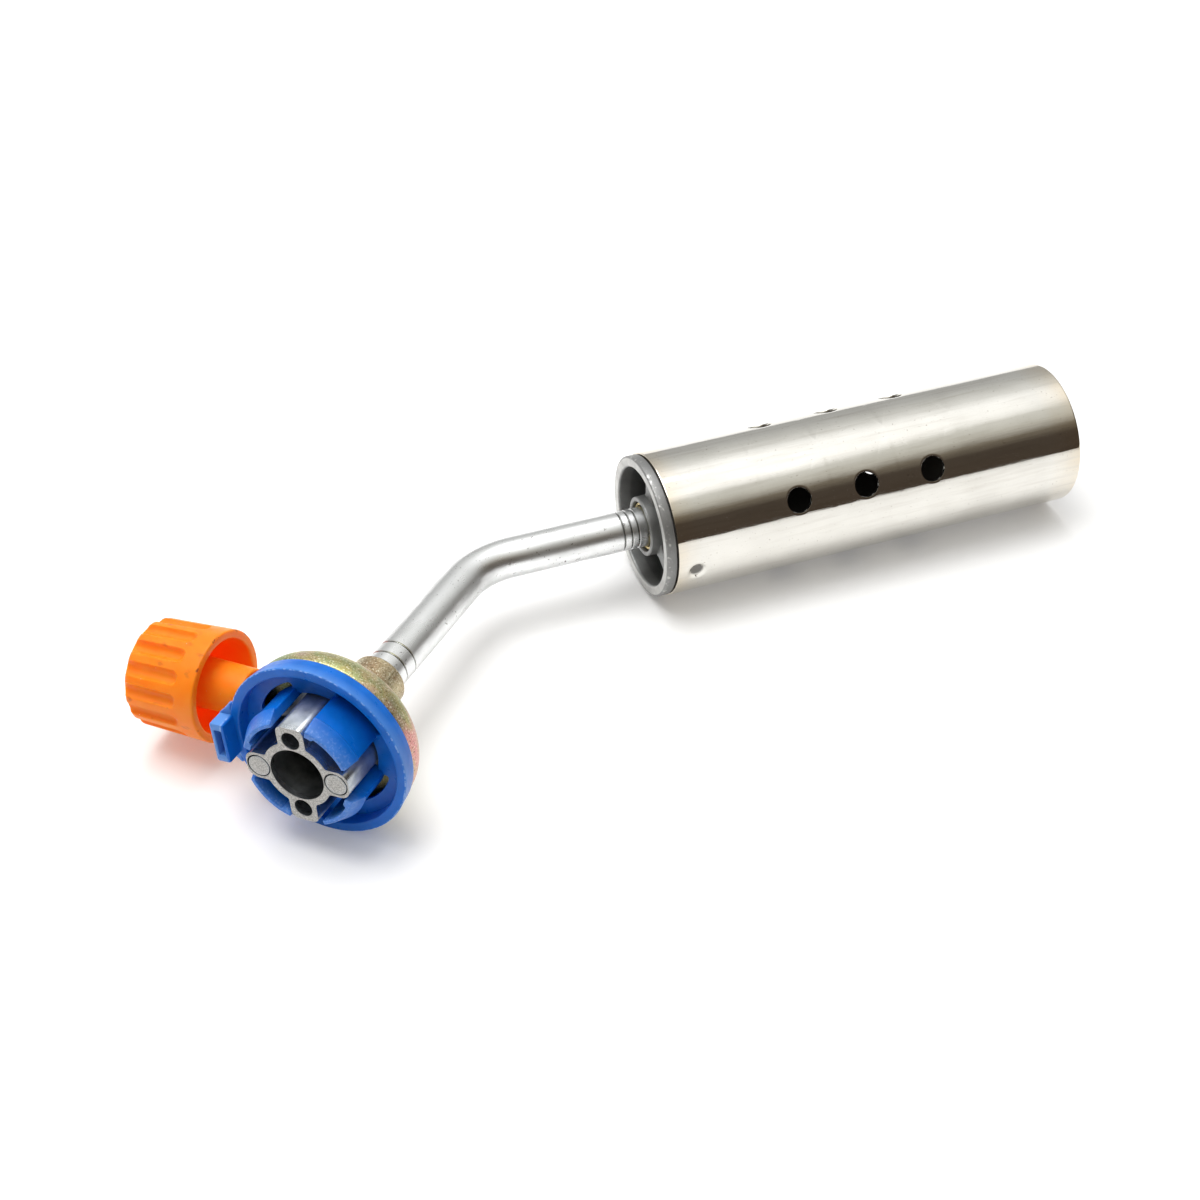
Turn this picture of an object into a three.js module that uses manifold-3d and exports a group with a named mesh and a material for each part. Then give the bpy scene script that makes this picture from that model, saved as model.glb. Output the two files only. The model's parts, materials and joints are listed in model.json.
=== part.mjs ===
// A gas torch head that locks onto a cartridge: bayonet collar and plug, needle valve
// with its knob, bent gas tube, and a steel burner. Millimetres, +Z up.
// It lies as on a bench: the burner sleeve's underside and the collar's rim touch the ground.
// +X runs along the burner towards its mouth. The origin is under the middle of the bounding box.
import * as THREE from "three";
import { mergeVertices } from "three/addons/utils/BufferGeometryUtils.js";
import Module from "manifold-3d";

const wasm = await Module();
wasm.setup();

// ---- Driving dimensions -------------------------------------------------------------------

const GAP = 0.3; // clearance between pieces that touch on the real torch
const REACH = 60; // how far a cutting tool runs past what it cuts

// Gas tube
const TUBE_RADIUS = 4.1;
const TUBE_WALL = 1;
const BEND_ANGLE = THREE.MathUtils.degToRad(44.6);
const BEND_RADIUS = 17.2;
const BEND_TO_BOSS = 40; // bend corner to the boss face, along the valve axis
const BEND_TO_RING = 34.9; // bend corner to the burner ring's rear face, along the burner axis
const TUBE_GROOVE_WIDTH = 0.7;
const TUBE_GROOVE_DEPTH = 0.3;
const BOSS_GROOVE_FROM_FACE = [3.3, 6.6];
const RING_GROOVE_FROM_FACE = [1.7, 3.2, 4.8];

// Valve body
const HEAD_TURN = THREE.MathUtils.degToRad(3); // the valve's turn on the tube, from the bend's plane
const BOSS_WALL = 1;
const BOSS_LENGTH = 8.1; // boss face to the dome's crown
const DOME_HEIGHT = 9.4;
const CUP_SKIRT = 1.1;
const CUP_WALL = 1.5;
const CUP_DEPTH = 2.6;
const SOCKET_DEPTH = 8.5; // boss face to the bottom of the tube socket
const SEAL_THICKNESS = 1;
const OUTLET_RADIUS = 1.4;
const INLET_RADIUS = 0.6;

// Lock collar
const COLLAR_RADIUS = 18;
const COLLAR_TURN = THREE.MathUtils.degToRad(1.2); // the collar's turn on the plug, within its play
const COLLAR_DRAFT = 0.5; // how much smaller the rim is at its rear edge
const RIM_WIDTH = 1.95;
const RIM_HEIGHT = 3.8;
const TRAY_THICKNESS = 0.7;
const SPIGOT_INSET = 0.75;
const SPIGOT_LENGTH = 1;
const SPIGOT_WIDTH = 1.3;
const FINGER_THICKNESS = 1.85;
const FINGER_BARB = 0.3;
const FINGER_LEAD_IN = 3;
const FINGER_TIP_THICKNESS = 0.75;
const WINDOW_WIDTH = 1.25;
const WINDOW_SPAN = THREE.MathUtils.degToRad(48);
const LUG_WIDTH = 8.6;
const LUG_OUT = 1.9; // how far the lug stands out past the rim
const LUG_INSET = 0.9; // from the rim's inner wall to the lug's inner face
const LUG_FORWARD = 3.4; // how far the lug stands in front of the rim face
const LUG_ROOT_WIDTH = 13.6;
const POCKET_WIDTH = 5.6;
const POCKET_HEIGHT = 1.5;
const POCKET_DEPTH = 4;

// Connector plug
const TIP_REACH = 6.8; // plug tip in front of the collar's rim face
const BORE_RADIUS = 5.35;
const BORE_WALL = 1.45;
const BORE_FLOOR = 2.2;
const LOBE_WEB = 0.4; // thinnest wall between the bore and a lobe's hole
const LOBE_HOLE_RADIUS = 1.8;
const LOBE_HOLE_DEPTH = 9;
const LOBE_WALL = 1;
const PIN_WEB = 0.2;
const PIN_HEAD_RADIUS = 2.15;
const PIN_HEAD_HEIGHT = 1.4;
const PIN_SHANK_RADIUS = 1.4;
const PIN_LOBE_WALL = 0.4;
const LOBE_CORNER_RADIUS = 1.3;
const PIN_DEPTH_IN_BODY = 1.8;
const PLUG_FLANGE = 1.2;
const GASKET_THICKNESS = 0.6;
const GASKET_HOLE_RADIUS = 4.8;

// Gas inlet
const PROBE_RADIUS = 1.3;
const PROBE_BORE_RADIUS = 0.6;
const PROBE_RECESS = 6; // plug tip to the probe's end
const INLET_SEAL_THICKNESS = 1.6;
const FILTER_RADIUS = 2.2;
const FILTER_THICKNESS = 0.8;

// Needle valve; distances along the knob axis run outwards from the valve axis
const SPINDLE_FROM_BOSS = 11.6; // boss face to the knob axis
const SPINDLE_RADIUS = 1.7;
const SPINDLE_END_WALL = 5.9; // knob's far end to the spindle's end
const NEEDLE_LENGTH = 2;
const NEEDLE_TIP_RADIUS = 0.4;
const NEEDLE_STROKE = 1.2; // how far the spindle travels outwards when the knob is fully open
const SEAT_START = 1.7;
const SEAT_LENGTH = 1.5;
const SEAT_ORIFICE_RADIUS = 0.7;
const O_RING_CENTRE = 9.4;
const O_RING_THICKNESS = 0.9;
const GLAND_DEPTH = 4.6; // how far the gland nut reaches into its boss
const GLAND_WALL = 1.5;
const GLAND_HEAD_LENGTH = 1.6;
const GLAND_HEAD_FLATS = 8;
const SPINDLE_BOSS_OUT = 0.5; // how far the spindle's boss stands out past the dome
const SPINDLE_BOSS_WALL = 0.8;

// Knob
const KNOB_STEM_CLEARANCE = 0.8; // gland nut to the stem's end
const KNOB_STEM_RADIUS = 4.6;
const KNOB_STEM_ROOT_RADIUS = 5.2;
const KNOB_STEM_OUT = 6.2; // how far the stem stands out of the knob's cup
const KNOB_RIM_RADIUS = 10.85;
const KNOB_END_RADIUS = 10.25;
const KNOB_WALL = 1.65;
const KNOB_LENGTH = 15.9;
const KNOB_END_WALL = 3;
const KNOB_RIB_COUNT = 4;
const KNOB_RIB_THICKNESS = 1;
const KNOB_RIB_HEIGHT = 5;
const KNOB_RECESS_DEPTH = 1.8;
const FLUTE_COUNT = 15;
const FLUTE_PHASE = THREE.MathUtils.degToRad(3);
const FLUTE_RADIUS = 1.5;
const FLUTE_DEPTH = 1;
const FLUTE_LENGTH = 12;
const SCREW_RADIUS = 1;
const SCREW_HEAD_RADIUS = 2.6;
const SCREW_HEAD_HEIGHT = 1.2;
const SCREW_LENGTH = 8;
const SCREW_SLOT_WIDTH = 0.7;
const SCREW_SLOT_DEPTH = 0.6;

// Burner
const SLEEVE_RADIUS = 15;
const SLEEVE_WALL = 0.8;
const SLEEVE_LENGTH = 91.7;
const RING_FLANGE_STEP = 0.3; // how much smaller the ring's flange is than the sleeve
const RING_FLANGE = 2.1;
const RING_SPIGOT = 8;
const RING_OPENING_RADIUS = 12.4;
const HUB_WALL = 0.95;
const HUB_LENGTH = 11;
const SPOKE_COUNT = 3;
const SPOKE_WIDTH = 3;
const SPOKE_RECESS = 1.8;
const SPOKE_LENGTH = 4.5;
const VENT_RADIUS = 2.65;
const VENT_FIRST = 27; // sleeve's rear edge to the first vent
const VENT_PITCH = 15.1;
const VENTS_PER_ROW = 3;
const VENT_ROWS = 4;
const VENT_PHASE = THREE.MathUtils.degToRad(62.5);
const DIMPLE_COUNT = 2;
const DIMPLE_PHASE = THREE.MathUtils.degToRad(13);
const DIMPLE_FROM_EDGE = 4.1;
const DIMPLE_RADIUS = 2;
const DIMPLE_DEPTH = 0.45;

// Jet
const HOLDER_WALL = 0.55;
const HOLDER_RECESS = 0.7;
const HOLDER_SOCKET = 5.7;
const HOLDER_LENGTH = 12.4;
const HOLDER_PASSAGE_RADIUS = 2.4;
const JET_SHANK_LENGTH = 4;
const JET_HEAD_LENGTH = 3;
const JET_HEAD_FLATS = 6;
const JET_ORIFICE_RADIUS = 0.3;
const JET_FILTER_THICKNESS = 1;

// ---- What follows from them ---------------------------------------------------------------

// Along the valve axis, from the bend corner towards the cartridge
const bossFace = BEND_TO_BOSS;
const domeRear = bossFace + BOSS_LENGTH;
const domeFront = domeRear + DOME_HEIGHT;
const cupFront = domeFront + CUP_SKIRT;
const cupFloor = cupFront - CUP_DEPTH;
const socketBottom = bossFace + SOCKET_DEPTH;
const tubeStart = socketBottom - SEAL_THICKNESS - 2 * GAP;
const spindleHeight = bossFace + SPINDLE_FROM_BOSS;
const collarRear = cupFront + GAP;
const trayFloor = collarRear + TRAY_THICKNESS;
const rimFace = collarRear + RIM_HEIGHT;
const plugTip = rimFace + TIP_REACH;
const gasketRear = cupFloor + GAP;
const plugRear = gasketRear + GASKET_THICKNESS + GAP;
const boreFloor = plugRear + BORE_FLOOR;

// Radii round the valve axis
const pinBoreRadius = PIN_HEAD_RADIUS + GAP;
const pinCentre = BORE_RADIUS + PIN_WEB + pinBoreRadius;
const pinLobeRadius = pinBoreRadius + PIN_LOBE_WALL;
const pinLobeOuter = pinCentre + pinLobeRadius;
const pinHoleRadius = PIN_SHANK_RADIUS + GAP;
const holeLobeCentre = BORE_RADIUS + LOBE_WEB + LOBE_HOLE_RADIUS;
const holeLobeRadius = LOBE_HOLE_RADIUS + LOBE_WALL;
const fingerInner = pinLobeOuter - 2 * GAP;
const fingerOuter = fingerInner + FINGER_THICKNESS;
const collarHole = pinLobeOuter + PIN_LOBE_WALL;
const windowOuter = fingerOuter + WINDOW_WIDTH;
const rimInner = COLLAR_RADIUS - RIM_WIDTH;
const spigotOuter = rimInner - SPIGOT_INSET;
const cupInner = spigotOuter + GAP;
const domeRadius = cupInner + CUP_WALL;
const socketRadius = TUBE_RADIUS + GAP;
const bossRadius = socketRadius + BOSS_WALL;
const lobeHalfSpan = Math.asin((pinLobeRadius + GAP) / fingerInner);
const fingerHalfSpan = Math.PI / 4 - lobeHalfSpan - Math.abs(COLLAR_TURN);

// Round and along the knob axis
const spindleBoreRadius = SPINDLE_RADIUS + GAP;
const glandRadius = spindleBoreRadius + GLAND_WALL;
const glandBoreRadius = glandRadius + GAP;
const spindleBossRadius = glandBoreRadius + SPINDLE_BOSS_WALL;
const spindleBossEnd = domeRadius + SPINDLE_BOSS_OUT;
const glandStart = spindleBossEnd - GLAND_DEPTH;
const glandEnd = spindleBossEnd + GAP + GLAND_HEAD_LENGTH;
const shoulderEnd = glandStart - NEEDLE_STROKE - GAP;
const shankRadius = SPINDLE_RADIUS - GAP;
const knobBoreRadius = shankRadius + GAP;
const stemStart = glandEnd + KNOB_STEM_CLEARANCE;
const knobRimStart = stemStart + KNOB_STEM_OUT;
const knobEnd = knobRimStart + KNOB_LENGTH;
const knobWeb = knobEnd - KNOB_END_WALL;
const knobTaper = Math.atan((KNOB_RIM_RADIUS - KNOB_END_RADIUS) / KNOB_LENGTH);
const spindleEnd = knobEnd - SPINDLE_END_WALL;
const needleTip = SEAT_START + SEAT_LENGTH - GAP;
const needleRoot = needleTip + NEEDLE_LENGTH;
const inletPassage = needleRoot - INLET_RADIUS;
const screwSeat = knobEnd - KNOB_RECESS_DEPTH;

// Along the burner axis, from the bend corner towards the mouth
const ringRear = BEND_TO_RING;
const sleeveRear = ringRear + RING_FLANGE + GAP;
const sleeveFront = sleeveRear + SLEEVE_LENGTH;
const holderRear = ringRear + HOLDER_RECESS;
const tubeEnd = holderRear + HOLDER_SOCKET - GAP;
const holderFront = holderRear + HOLDER_LENGTH;

// Radii round the burner axis
const sleeveInner = SLEEVE_RADIUS - SLEEVE_WALL;
const spigotRadius = sleeveInner - GAP;
const holderInner = TUBE_RADIUS + GAP;
const holderOuter = holderInner + HOLDER_WALL;
const hubInner = holderOuter + GAP;
const hubOuter = hubInner + HUB_WALL;

// ---- Solids -------------------------------------------------------------------------------

const FINE = 40;
const MEDIUM = 24;
const SMALL = 16;

// A closed geometry as a manifold solid that booleans can cut and join.
function toSolid(geometry) {
  const bare = geometry.clone();
  bare.deleteAttribute("normal");
  bare.deleteAttribute("uv");
  const merged = mergeVertices(bare);
  const mesh = new wasm.Mesh({
    numProp: 3,
    vertProperties: merged.attributes.position.array,
    triVerts: new Uint32Array(merged.index.array),
  });
  return new wasm.Manifold(mesh);
}

// A manifold solid as a geometry with flat-shaded normals.
function toGeometry(solid) {
  const mesh = solid.getMesh();
  const geometry = new THREE.BufferGeometry();
  geometry.setAttribute("position", new THREE.BufferAttribute(mesh.vertProperties, 3));
  geometry.setIndex(new THREE.BufferAttribute(mesh.triVerts, 1));
  const flat = geometry.toNonIndexed();
  flat.computeVertexNormals();
  return flat;
}

// A profile of [radius, height] points, counter-clockwise, spun round the Z axis.
function spin(profile, segments) {
  const points = profile.map(([radius, height]) => new THREE.Vector2(radius, height));
  const geometry = new THREE.LatheGeometry(points, segments);
  geometry.rotateX(Math.PI / 2);
  return toSolid(geometry);
}

// A solid round bar from one height to another.
function bar(radius, from, to, segments = MEDIUM) {
  const profile = [
    [0, from],
    [radius, from],
    [radius, to],
    [0, to],
  ];
  return spin(profile, segments);
}

// A ring with a rectangular section.
function ring(inner, outer, from, to, segments = MEDIUM) {
  const profile = [
    [inner, from],
    [outer, from],
    [outer, to],
    [inner, to],
    [inner, from],
  ];
  return spin(profile, segments);
}

// A box given by its centre and its three sizes.
function block(centre, size) {
  const geometry = new THREE.BoxGeometry(...size);
  geometry.translate(...centre);
  return toSolid(geometry);
}

// A hexagonal bar, measured across its flats.
function hexagon(flats, from, to) {
  return bar(flats / Math.sqrt(3), from, to, 6);
}

// An outline in the XY plane pulled up from one height to another.
function prism(points, from, to) {
  const outline = new THREE.Shape(points.map(([x, y]) => new THREE.Vector2(x, y)));
  const geometry = new THREE.ExtrudeGeometry(outline, { depth: to - from, bevelEnabled: false });
  geometry.translate(0, 0, from);
  return toSolid(geometry);
}

// A pie slice from the axis out to a radius, centred on one direction.
function wedge(radius, direction, halfSpan, from, to) {
  const steps = 6;
  const points = [[0, 0]];
  for (let i = 0; i <= steps; i += 1) {
    const angle = direction - halfSpan + (2 * halfSpan * i) / steps;
    points.push([radius * Math.cos(angle), radius * Math.sin(angle)]);
  }
  return prism(points, from, to);
}

function movedTo(solid, x, y, z) {
  return solid.translate([x, y, z]);
}

function turned(solid, angle) {
  return solid.rotate([0, 0, THREE.MathUtils.radToDeg(angle)]);
}

// A bar that lies along -X, as the knob axis does in the valve's frame.
function crossBar(radius, from, to, segments = SMALL) {
  return bar(radius, from, to, segments).rotate([0, -90, 0]).translate([0, 0, spindleHeight]);
}

// The same piece at equal steps round the Z axis.
function around(count, phase, make) {
  const copies = [];
  for (let i = 0; i < count; i += 1) {
    copies.push(make(phase + (2 * Math.PI * i) / count));
  }
  return copies;
}

function addAll(solid, others) {
  return others.reduce((sum, other) => sum.add(other), solid);
}

function cutAll(solid, tools) {
  return tools.reduce((rest, tool) => rest.subtract(tool), solid);
}

// ---- Valve body and gas inlet, in the valve's frame ---------------------------------------

// A dome with a boss for the tube behind it, a boss for the spindle at its side,
// and an open cup in front that takes the collar and the plug.
function makeValveBody() {
  const steps = 7;
  const startAngle = Math.asin(bossRadius / domeRadius);
  const bevel = 0.4;
  const profile = [
    [0, bossFace],
    [bossRadius - bevel, bossFace],
    [bossRadius, bossFace + bevel],
  ];
  for (let i = 0; i <= steps; i += 1) {
    const angle = startAngle + ((Math.PI / 2 - startAngle) * i) / steps;
    profile.push([domeRadius * Math.sin(angle), domeFront - DOME_HEIGHT * Math.cos(angle)]);
  }
  profile.push([domeRadius, cupFront], [0, cupFront]);
  const dome = spin(profile, FINE);
  const boss = crossBar(spindleBossRadius, 0, spindleBossEnd, MEDIUM);
  const body = dome.add(boss);
  const pinHoles = [-1, 1].map((side) =>
    movedTo(bar(pinHoleRadius, 0, PIN_DEPTH_IN_BODY + REACH, SMALL),
      side * pinCentre, 0, cupFloor - PIN_DEPTH_IN_BODY));
  return cutAll(body, [
    bar(cupInner, cupFloor, cupFront + REACH, FINE),
    bar(socketRadius, bossFace - REACH, socketBottom),
    bar(OUTLET_RADIUS, socketBottom - GAP, spindleHeight, SMALL),
    crossBar(spindleBoreRadius, -OUTLET_RADIUS, spindleBossEnd + REACH),
    crossBar(glandBoreRadius, glandStart - GAP, spindleBossEnd + REACH),
    movedTo(bar(INLET_RADIUS, spindleHeight, cupFront, 12), -inletPassage, 0, 0),
    ...pinHoles,
  ]);
}

function makeTubeSeal() {
  const rear = tubeStart + GAP;
  return ring(TUBE_RADIUS - TUBE_WALL, TUBE_RADIUS, rear, rear + SEAL_THICKNESS, SMALL);
}

function makeBodyGasket() {
  const disc = ring(GASKET_HOLE_RADIUS, pinLobeOuter, gasketRear, gasketRear + GASKET_THICKNESS);
  const holes = [-1, 1].map((side) =>
    movedTo(bar(pinHoleRadius, gasketRear - 1, plugRear, SMALL), side * pinCentre, 0, 0));
  return cutAll(disc, holes);
}

// A lobe that runs out from the axis to a flat end with rounded corners.
function makeLobe(halfWidth, outer, direction) {
  const corner = LOBE_CORNER_RADIUS;
  const outline = new THREE.Shape();
  outline.moveTo(0, -halfWidth);
  outline.absarc(outer - corner, corner - halfWidth, corner, -Math.PI / 2, 0);
  outline.absarc(outer - corner, halfWidth - corner, corner, 0, Math.PI / 2);
  outline.lineTo(0, halfWidth);
  const geometry = new THREE.ExtrudeGeometry(outline, {
    depth: plugTip - plugRear,
    curveSegments: 5,
    bevelEnabled: false,
  });
  geometry.translate(0, 0, plugRear);
  return turned(toSolid(geometry), direction);
}

// Centre tube with two holed lobes up and down and two pinned lobes towards and away from the knob.
function makeConnectorPlug() {
  const centre = bar(BORE_RADIUS + BORE_WALL, plugRear, plugTip, FINE);
  const flange = bar(fingerInner - GAP, plugRear, plugRear + PLUG_FLANGE, FINE);
  const holeLobes = around(2, Math.PI / 2, (direction) =>
    makeLobe(holeLobeRadius, holeLobeCentre + holeLobeRadius, direction));
  const pinLobes = around(2, 0, (direction) => makeLobe(pinLobeRadius, pinLobeOuter, direction));
  const lobeHoles = [-1, 1].map((side) =>
    movedTo(bar(LOBE_HOLE_RADIUS, plugTip - LOBE_HOLE_DEPTH, plugTip + 1, SMALL),
      0, side * holeLobeCentre, 0));
  const pinHoles = [-1, 1].flatMap((side) => [
    movedTo(bar(pinHoleRadius, plugRear - 1, plugTip, SMALL), side * pinCentre, 0, 0),
    movedTo(bar(pinBoreRadius, plugTip - PIN_HEAD_HEIGHT - GAP, plugTip + 1, SMALL),
      side * pinCentre, 0, 0),
  ]);
  const block = addAll(centre, [flange, ...holeLobes, ...pinLobes]);
  return cutAll(block, [
    bar(BORE_RADIUS, boreFloor, plugTip + 1, FINE),
    bar(PROBE_RADIUS + GAP, plugRear - 1, boreFloor + 1, SMALL),
    bar(FILTER_RADIUS + GAP, plugRear - 1, plugRear + FILTER_THICKNESS + GAP, SMALL),
    ...lobeHoles,
    ...pinHoles,
  ]);
}

// A pin whose head fills its lobe and whose shank reaches into the valve body.
function makeStakePin(side) {
  const shank = bar(PIN_SHANK_RADIUS, cupFloor - PIN_DEPTH_IN_BODY + GAP, plugTip - GAP, SMALL);
  const head = bar(PIN_HEAD_RADIUS, plugTip - PIN_HEAD_HEIGHT, plugTip, SMALL);
  return movedTo(shank.add(head), side * pinCentre, 0, 0);
}

function makeInletFilter() {
  return bar(FILTER_RADIUS, plugRear, plugRear + FILTER_THICKNESS, SMALL);
}

function makeInletProbe() {
  const rear = plugRear + FILTER_THICKNESS + 2 * GAP;
  const front = plugTip - PROBE_RECESS;
  const bevel = 0.4;
  const profile = [
    [PROBE_BORE_RADIUS, rear],
    [PROBE_RADIUS, rear],
    [PROBE_RADIUS, front - bevel],
    [PROBE_RADIUS - bevel, front],
    [PROBE_BORE_RADIUS, front],
    [PROBE_BORE_RADIUS, rear],
  ];
  return spin(profile, SMALL);
}

function makeInletSeal() {
  const rear = boreFloor + GAP;
  return ring(PROBE_RADIUS + GAP, BORE_RADIUS - GAP, rear, rear + INLET_SEAL_THICKNESS);
}

// ---- Lock collar, in the valve's frame ----------------------------------------------------

// One snap finger: an arc wall with a barb and a lead-in taper at its tip.
function makeFinger(direction) {
  const barbFace = plugTip - FINGER_LEAD_IN;
  const profile = [
    [fingerInner, collarRear],
    [fingerOuter, collarRear],
    [fingerOuter, barbFace - FINGER_BARB],
    [fingerOuter + FINGER_BARB, barbFace],
    [fingerInner + FINGER_TIP_THICKNESS, plugTip],
    [fingerInner, plugTip],
    [fingerInner, collarRear],
  ];
  const whole = spin(profile, FINE);
  return whole.intersect(wedge(COLLAR_RADIUS, direction, fingerHalfSpan, collarRear - 1, plugTip + 1));
}

// The window behind a finger's barb.
function makeWindow(direction) {
  const slot = ring(fingerOuter, windowOuter, collarRear - REACH, trayFloor + 1, FINE);
  return slot.intersect(
    wedge(COLLAR_RADIUS, direction, WINDOW_SPAN / 2, collarRear - 2 * SPIGOT_LENGTH, trayFloor + 2));
}

// The latch lug on the knob's side of the rim, with its root flared into the rim.
function makeLug() {
  const outer = COLLAR_RADIUS + LUG_OUT;
  const front = rimFace + LUG_FORWARD;
  const lug = prism([
    [-rimInner, LUG_ROOT_WIDTH / 2],
    [-COLLAR_RADIUS * Math.cos(LUG_ROOT_WIDTH / 2 / COLLAR_RADIUS), LUG_ROOT_WIDTH / 2],
    [-outer, LUG_WIDTH / 2],
    [-outer, -LUG_WIDTH / 2],
    [-COLLAR_RADIUS * Math.cos(LUG_ROOT_WIDTH / 2 / COLLAR_RADIUS), -LUG_ROOT_WIDTH / 2],
    [-rimInner, -LUG_ROOT_WIDTH / 2],
  ], collarRear, rimFace);
  const inner = rimInner + LUG_INSET;
  const nose = block(
    [-(inner + outer) / 2, 0, (collarRear + front) / 2],
    [outer - inner, LUG_WIDTH, front - collarRear]);
  const pocket = block(
    [-(inner + outer) / 2, 0, front],
    [POCKET_HEIGHT, POCKET_WIDTH, 2 * POCKET_DEPTH]);
  return lug.subtract(bar(rimInner, collarRear - 1, rimFace + 1, FINE)).add(nose).subtract(pocket);
}

function makeLockCollar() {
  const profile = [
    [collarHole, collarRear],
    [COLLAR_RADIUS - COLLAR_DRAFT, collarRear],
    [COLLAR_RADIUS, rimFace],
    [rimInner, rimFace],
    [rimInner, trayFloor],
    [collarHole, trayFloor],
    [collarHole, collarRear],
  ];
  const dish = spin(profile, FINE);
  const spigot = ring(spigotOuter - SPIGOT_WIDTH, spigotOuter, collarRear - SPIGOT_LENGTH, trayFloor, FINE);
  const windows = around(4, Math.PI / 4, makeWindow);
  const fingers = around(4, Math.PI / 4, makeFinger);
  return addAll(cutAll(dish.add(spigot), windows), [makeLug(), ...fingers]);
}

// ---- Needle valve and knob; +Z runs outwards along the knob axis --------------------------

function makeValveSeat() {
  return ring(SEAT_ORIFICE_RADIUS, SPINDLE_RADIUS, SEAT_START, SEAT_START + SEAT_LENGTH, SMALL);
}

function makeSpindle() {
  const grooveHalf = O_RING_THICKNESS / 2 + 0.1;
  const grooveRadius = SPINDLE_RADIUS - O_RING_THICKNESS;
  const profile = [
    [0, needleTip],
    [NEEDLE_TIP_RADIUS, needleTip],
    [SPINDLE_RADIUS - GAP, needleRoot],
    [SPINDLE_RADIUS, needleRoot + GAP],
    [SPINDLE_RADIUS, O_RING_CENTRE - grooveHalf],
    [grooveRadius, O_RING_CENTRE - grooveHalf],
    [grooveRadius, O_RING_CENTRE + grooveHalf],
    [SPINDLE_RADIUS, O_RING_CENTRE + grooveHalf],
    [SPINDLE_RADIUS, shoulderEnd],
    [shankRadius, shoulderEnd],
    [shankRadius, spindleEnd],
    [0, spindleEnd],
  ];
  const screwTip = screwSeat - SCREW_LENGTH;
  const tappedHole = bar(SCREW_RADIUS + 0.1, screwTip - GAP, spindleEnd + 1, 12);
  return spin(profile, SMALL).subtract(tappedHole);
}

function makeSpindleORing() {
  const radius = O_RING_THICKNESS / 2;
  const centre = SPINDLE_RADIUS - O_RING_THICKNESS + radius + 0.1;
  const section = [];
  for (let i = 0; i <= 8; i += 1) {
    const angle = (2 * Math.PI * i) / 8;
    section.push([centre + radius * Math.cos(angle), O_RING_CENTRE + radius * Math.sin(angle)]);
  }
  section[8] = section[0];
  return spin(section, SMALL);
}

function makeGlandNut() {
  const body = bar(glandRadius, glandStart, spindleBossEnd + GAP + 0.1, SMALL);
  const head = hexagon(GLAND_HEAD_FLATS, spindleBossEnd + GAP, glandEnd);
  return body.add(head).subtract(bar(shankRadius + GAP, 0, REACH, SMALL));
}

// A long groove with a round end, cut from the knob's far end towards its rim and
// leaning with the knob's taper.
function makeFlute(direction) {
  const distance = KNOB_END_RADIUS - FLUTE_DEPTH + FLUTE_RADIUS;
  const start = FLUTE_RADIUS - FLUTE_LENGTH;
  const groove = bar(FLUTE_RADIUS, start, 1, 12);
  const end = new THREE.SphereGeometry(FLUTE_RADIUS, 12, 6);
  end.rotateX(Math.PI / 2);
  end.translate(0, 0, start);
  const lean = [0, -THREE.MathUtils.radToDeg(knobTaper), 0];
  const cutter = groove.add(toSolid(end)).rotate(lean).translate([distance, 0, knobEnd]);
  return turned(cutter, direction);
}

function makeRib(direction) {
  const length = KNOB_RIM_RADIUS - KNOB_WALL - KNOB_STEM_RADIUS + 0.4;
  const rib = block(
    [KNOB_STEM_RADIUS + length / 2 - 0.2, 0, knobWeb - KNOB_RIB_HEIGHT / 2 + 0.1],
    [length, KNOB_RIB_THICKNESS, KNOB_RIB_HEIGHT + 0.2]);
  return turned(rib, direction);
}

// A fluted cup, open towards the valve, with a stem on its axis.
function makeKnob() {
  const bevel = 0.6;
  const profile = [
    [0, stemStart],
    [KNOB_STEM_RADIUS, stemStart],
    [KNOB_STEM_ROOT_RADIUS, knobWeb],
    [KNOB_END_RADIUS - KNOB_WALL, knobWeb],
    [KNOB_RIM_RADIUS - KNOB_WALL, knobRimStart],
    [KNOB_RIM_RADIUS, knobRimStart],
    [KNOB_END_RADIUS, knobEnd - bevel],
    [KNOB_END_RADIUS - bevel, knobEnd],
    [0, knobEnd],
  ];
  const cup = spin(profile, FINE);
  const ribs = around(KNOB_RIB_COUNT, Math.PI / KNOB_RIB_COUNT, makeRib);
  return cutAll(addAll(cup, ribs), [
    bar(knobBoreRadius, stemStart - 1, spindleEnd + GAP, SMALL),
    bar(SCREW_RADIUS + GAP, spindleEnd, knobEnd + 1, SMALL),
    bar(SCREW_HEAD_RADIUS + GAP, screwSeat, knobEnd + 1, SMALL),
    ...around(FLUTE_COUNT, FLUTE_PHASE, makeFlute),
  ]);
}

function makeKnobScrew() {
  const underHead = screwSeat + GAP;
  const top = underHead + SCREW_HEAD_HEIGHT;
  const shank = bar(SCREW_RADIUS - 0.2, screwSeat - SCREW_LENGTH, underHead + 0.1, 12);
  const head = bar(SCREW_HEAD_RADIUS, underHead, top, SMALL);
  const slot = block([0, 0, top], [REACH, SCREW_SLOT_WIDTH, 2 * SCREW_SLOT_DEPTH]);
  return shank.add(head).subtract(slot);
}

// ---- Gas tube, in the plane of the bend ---------------------------------------------------

// Directions from the bend corner: the burner lies along +X.
const toBurner = new THREE.Vector3(1, 0, 0);
const toCartridge = new THREE.Vector3(-Math.cos(BEND_ANGLE), -Math.sin(BEND_ANGLE), 0);
const up = new THREE.Vector3(0, 0, 1);

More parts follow.
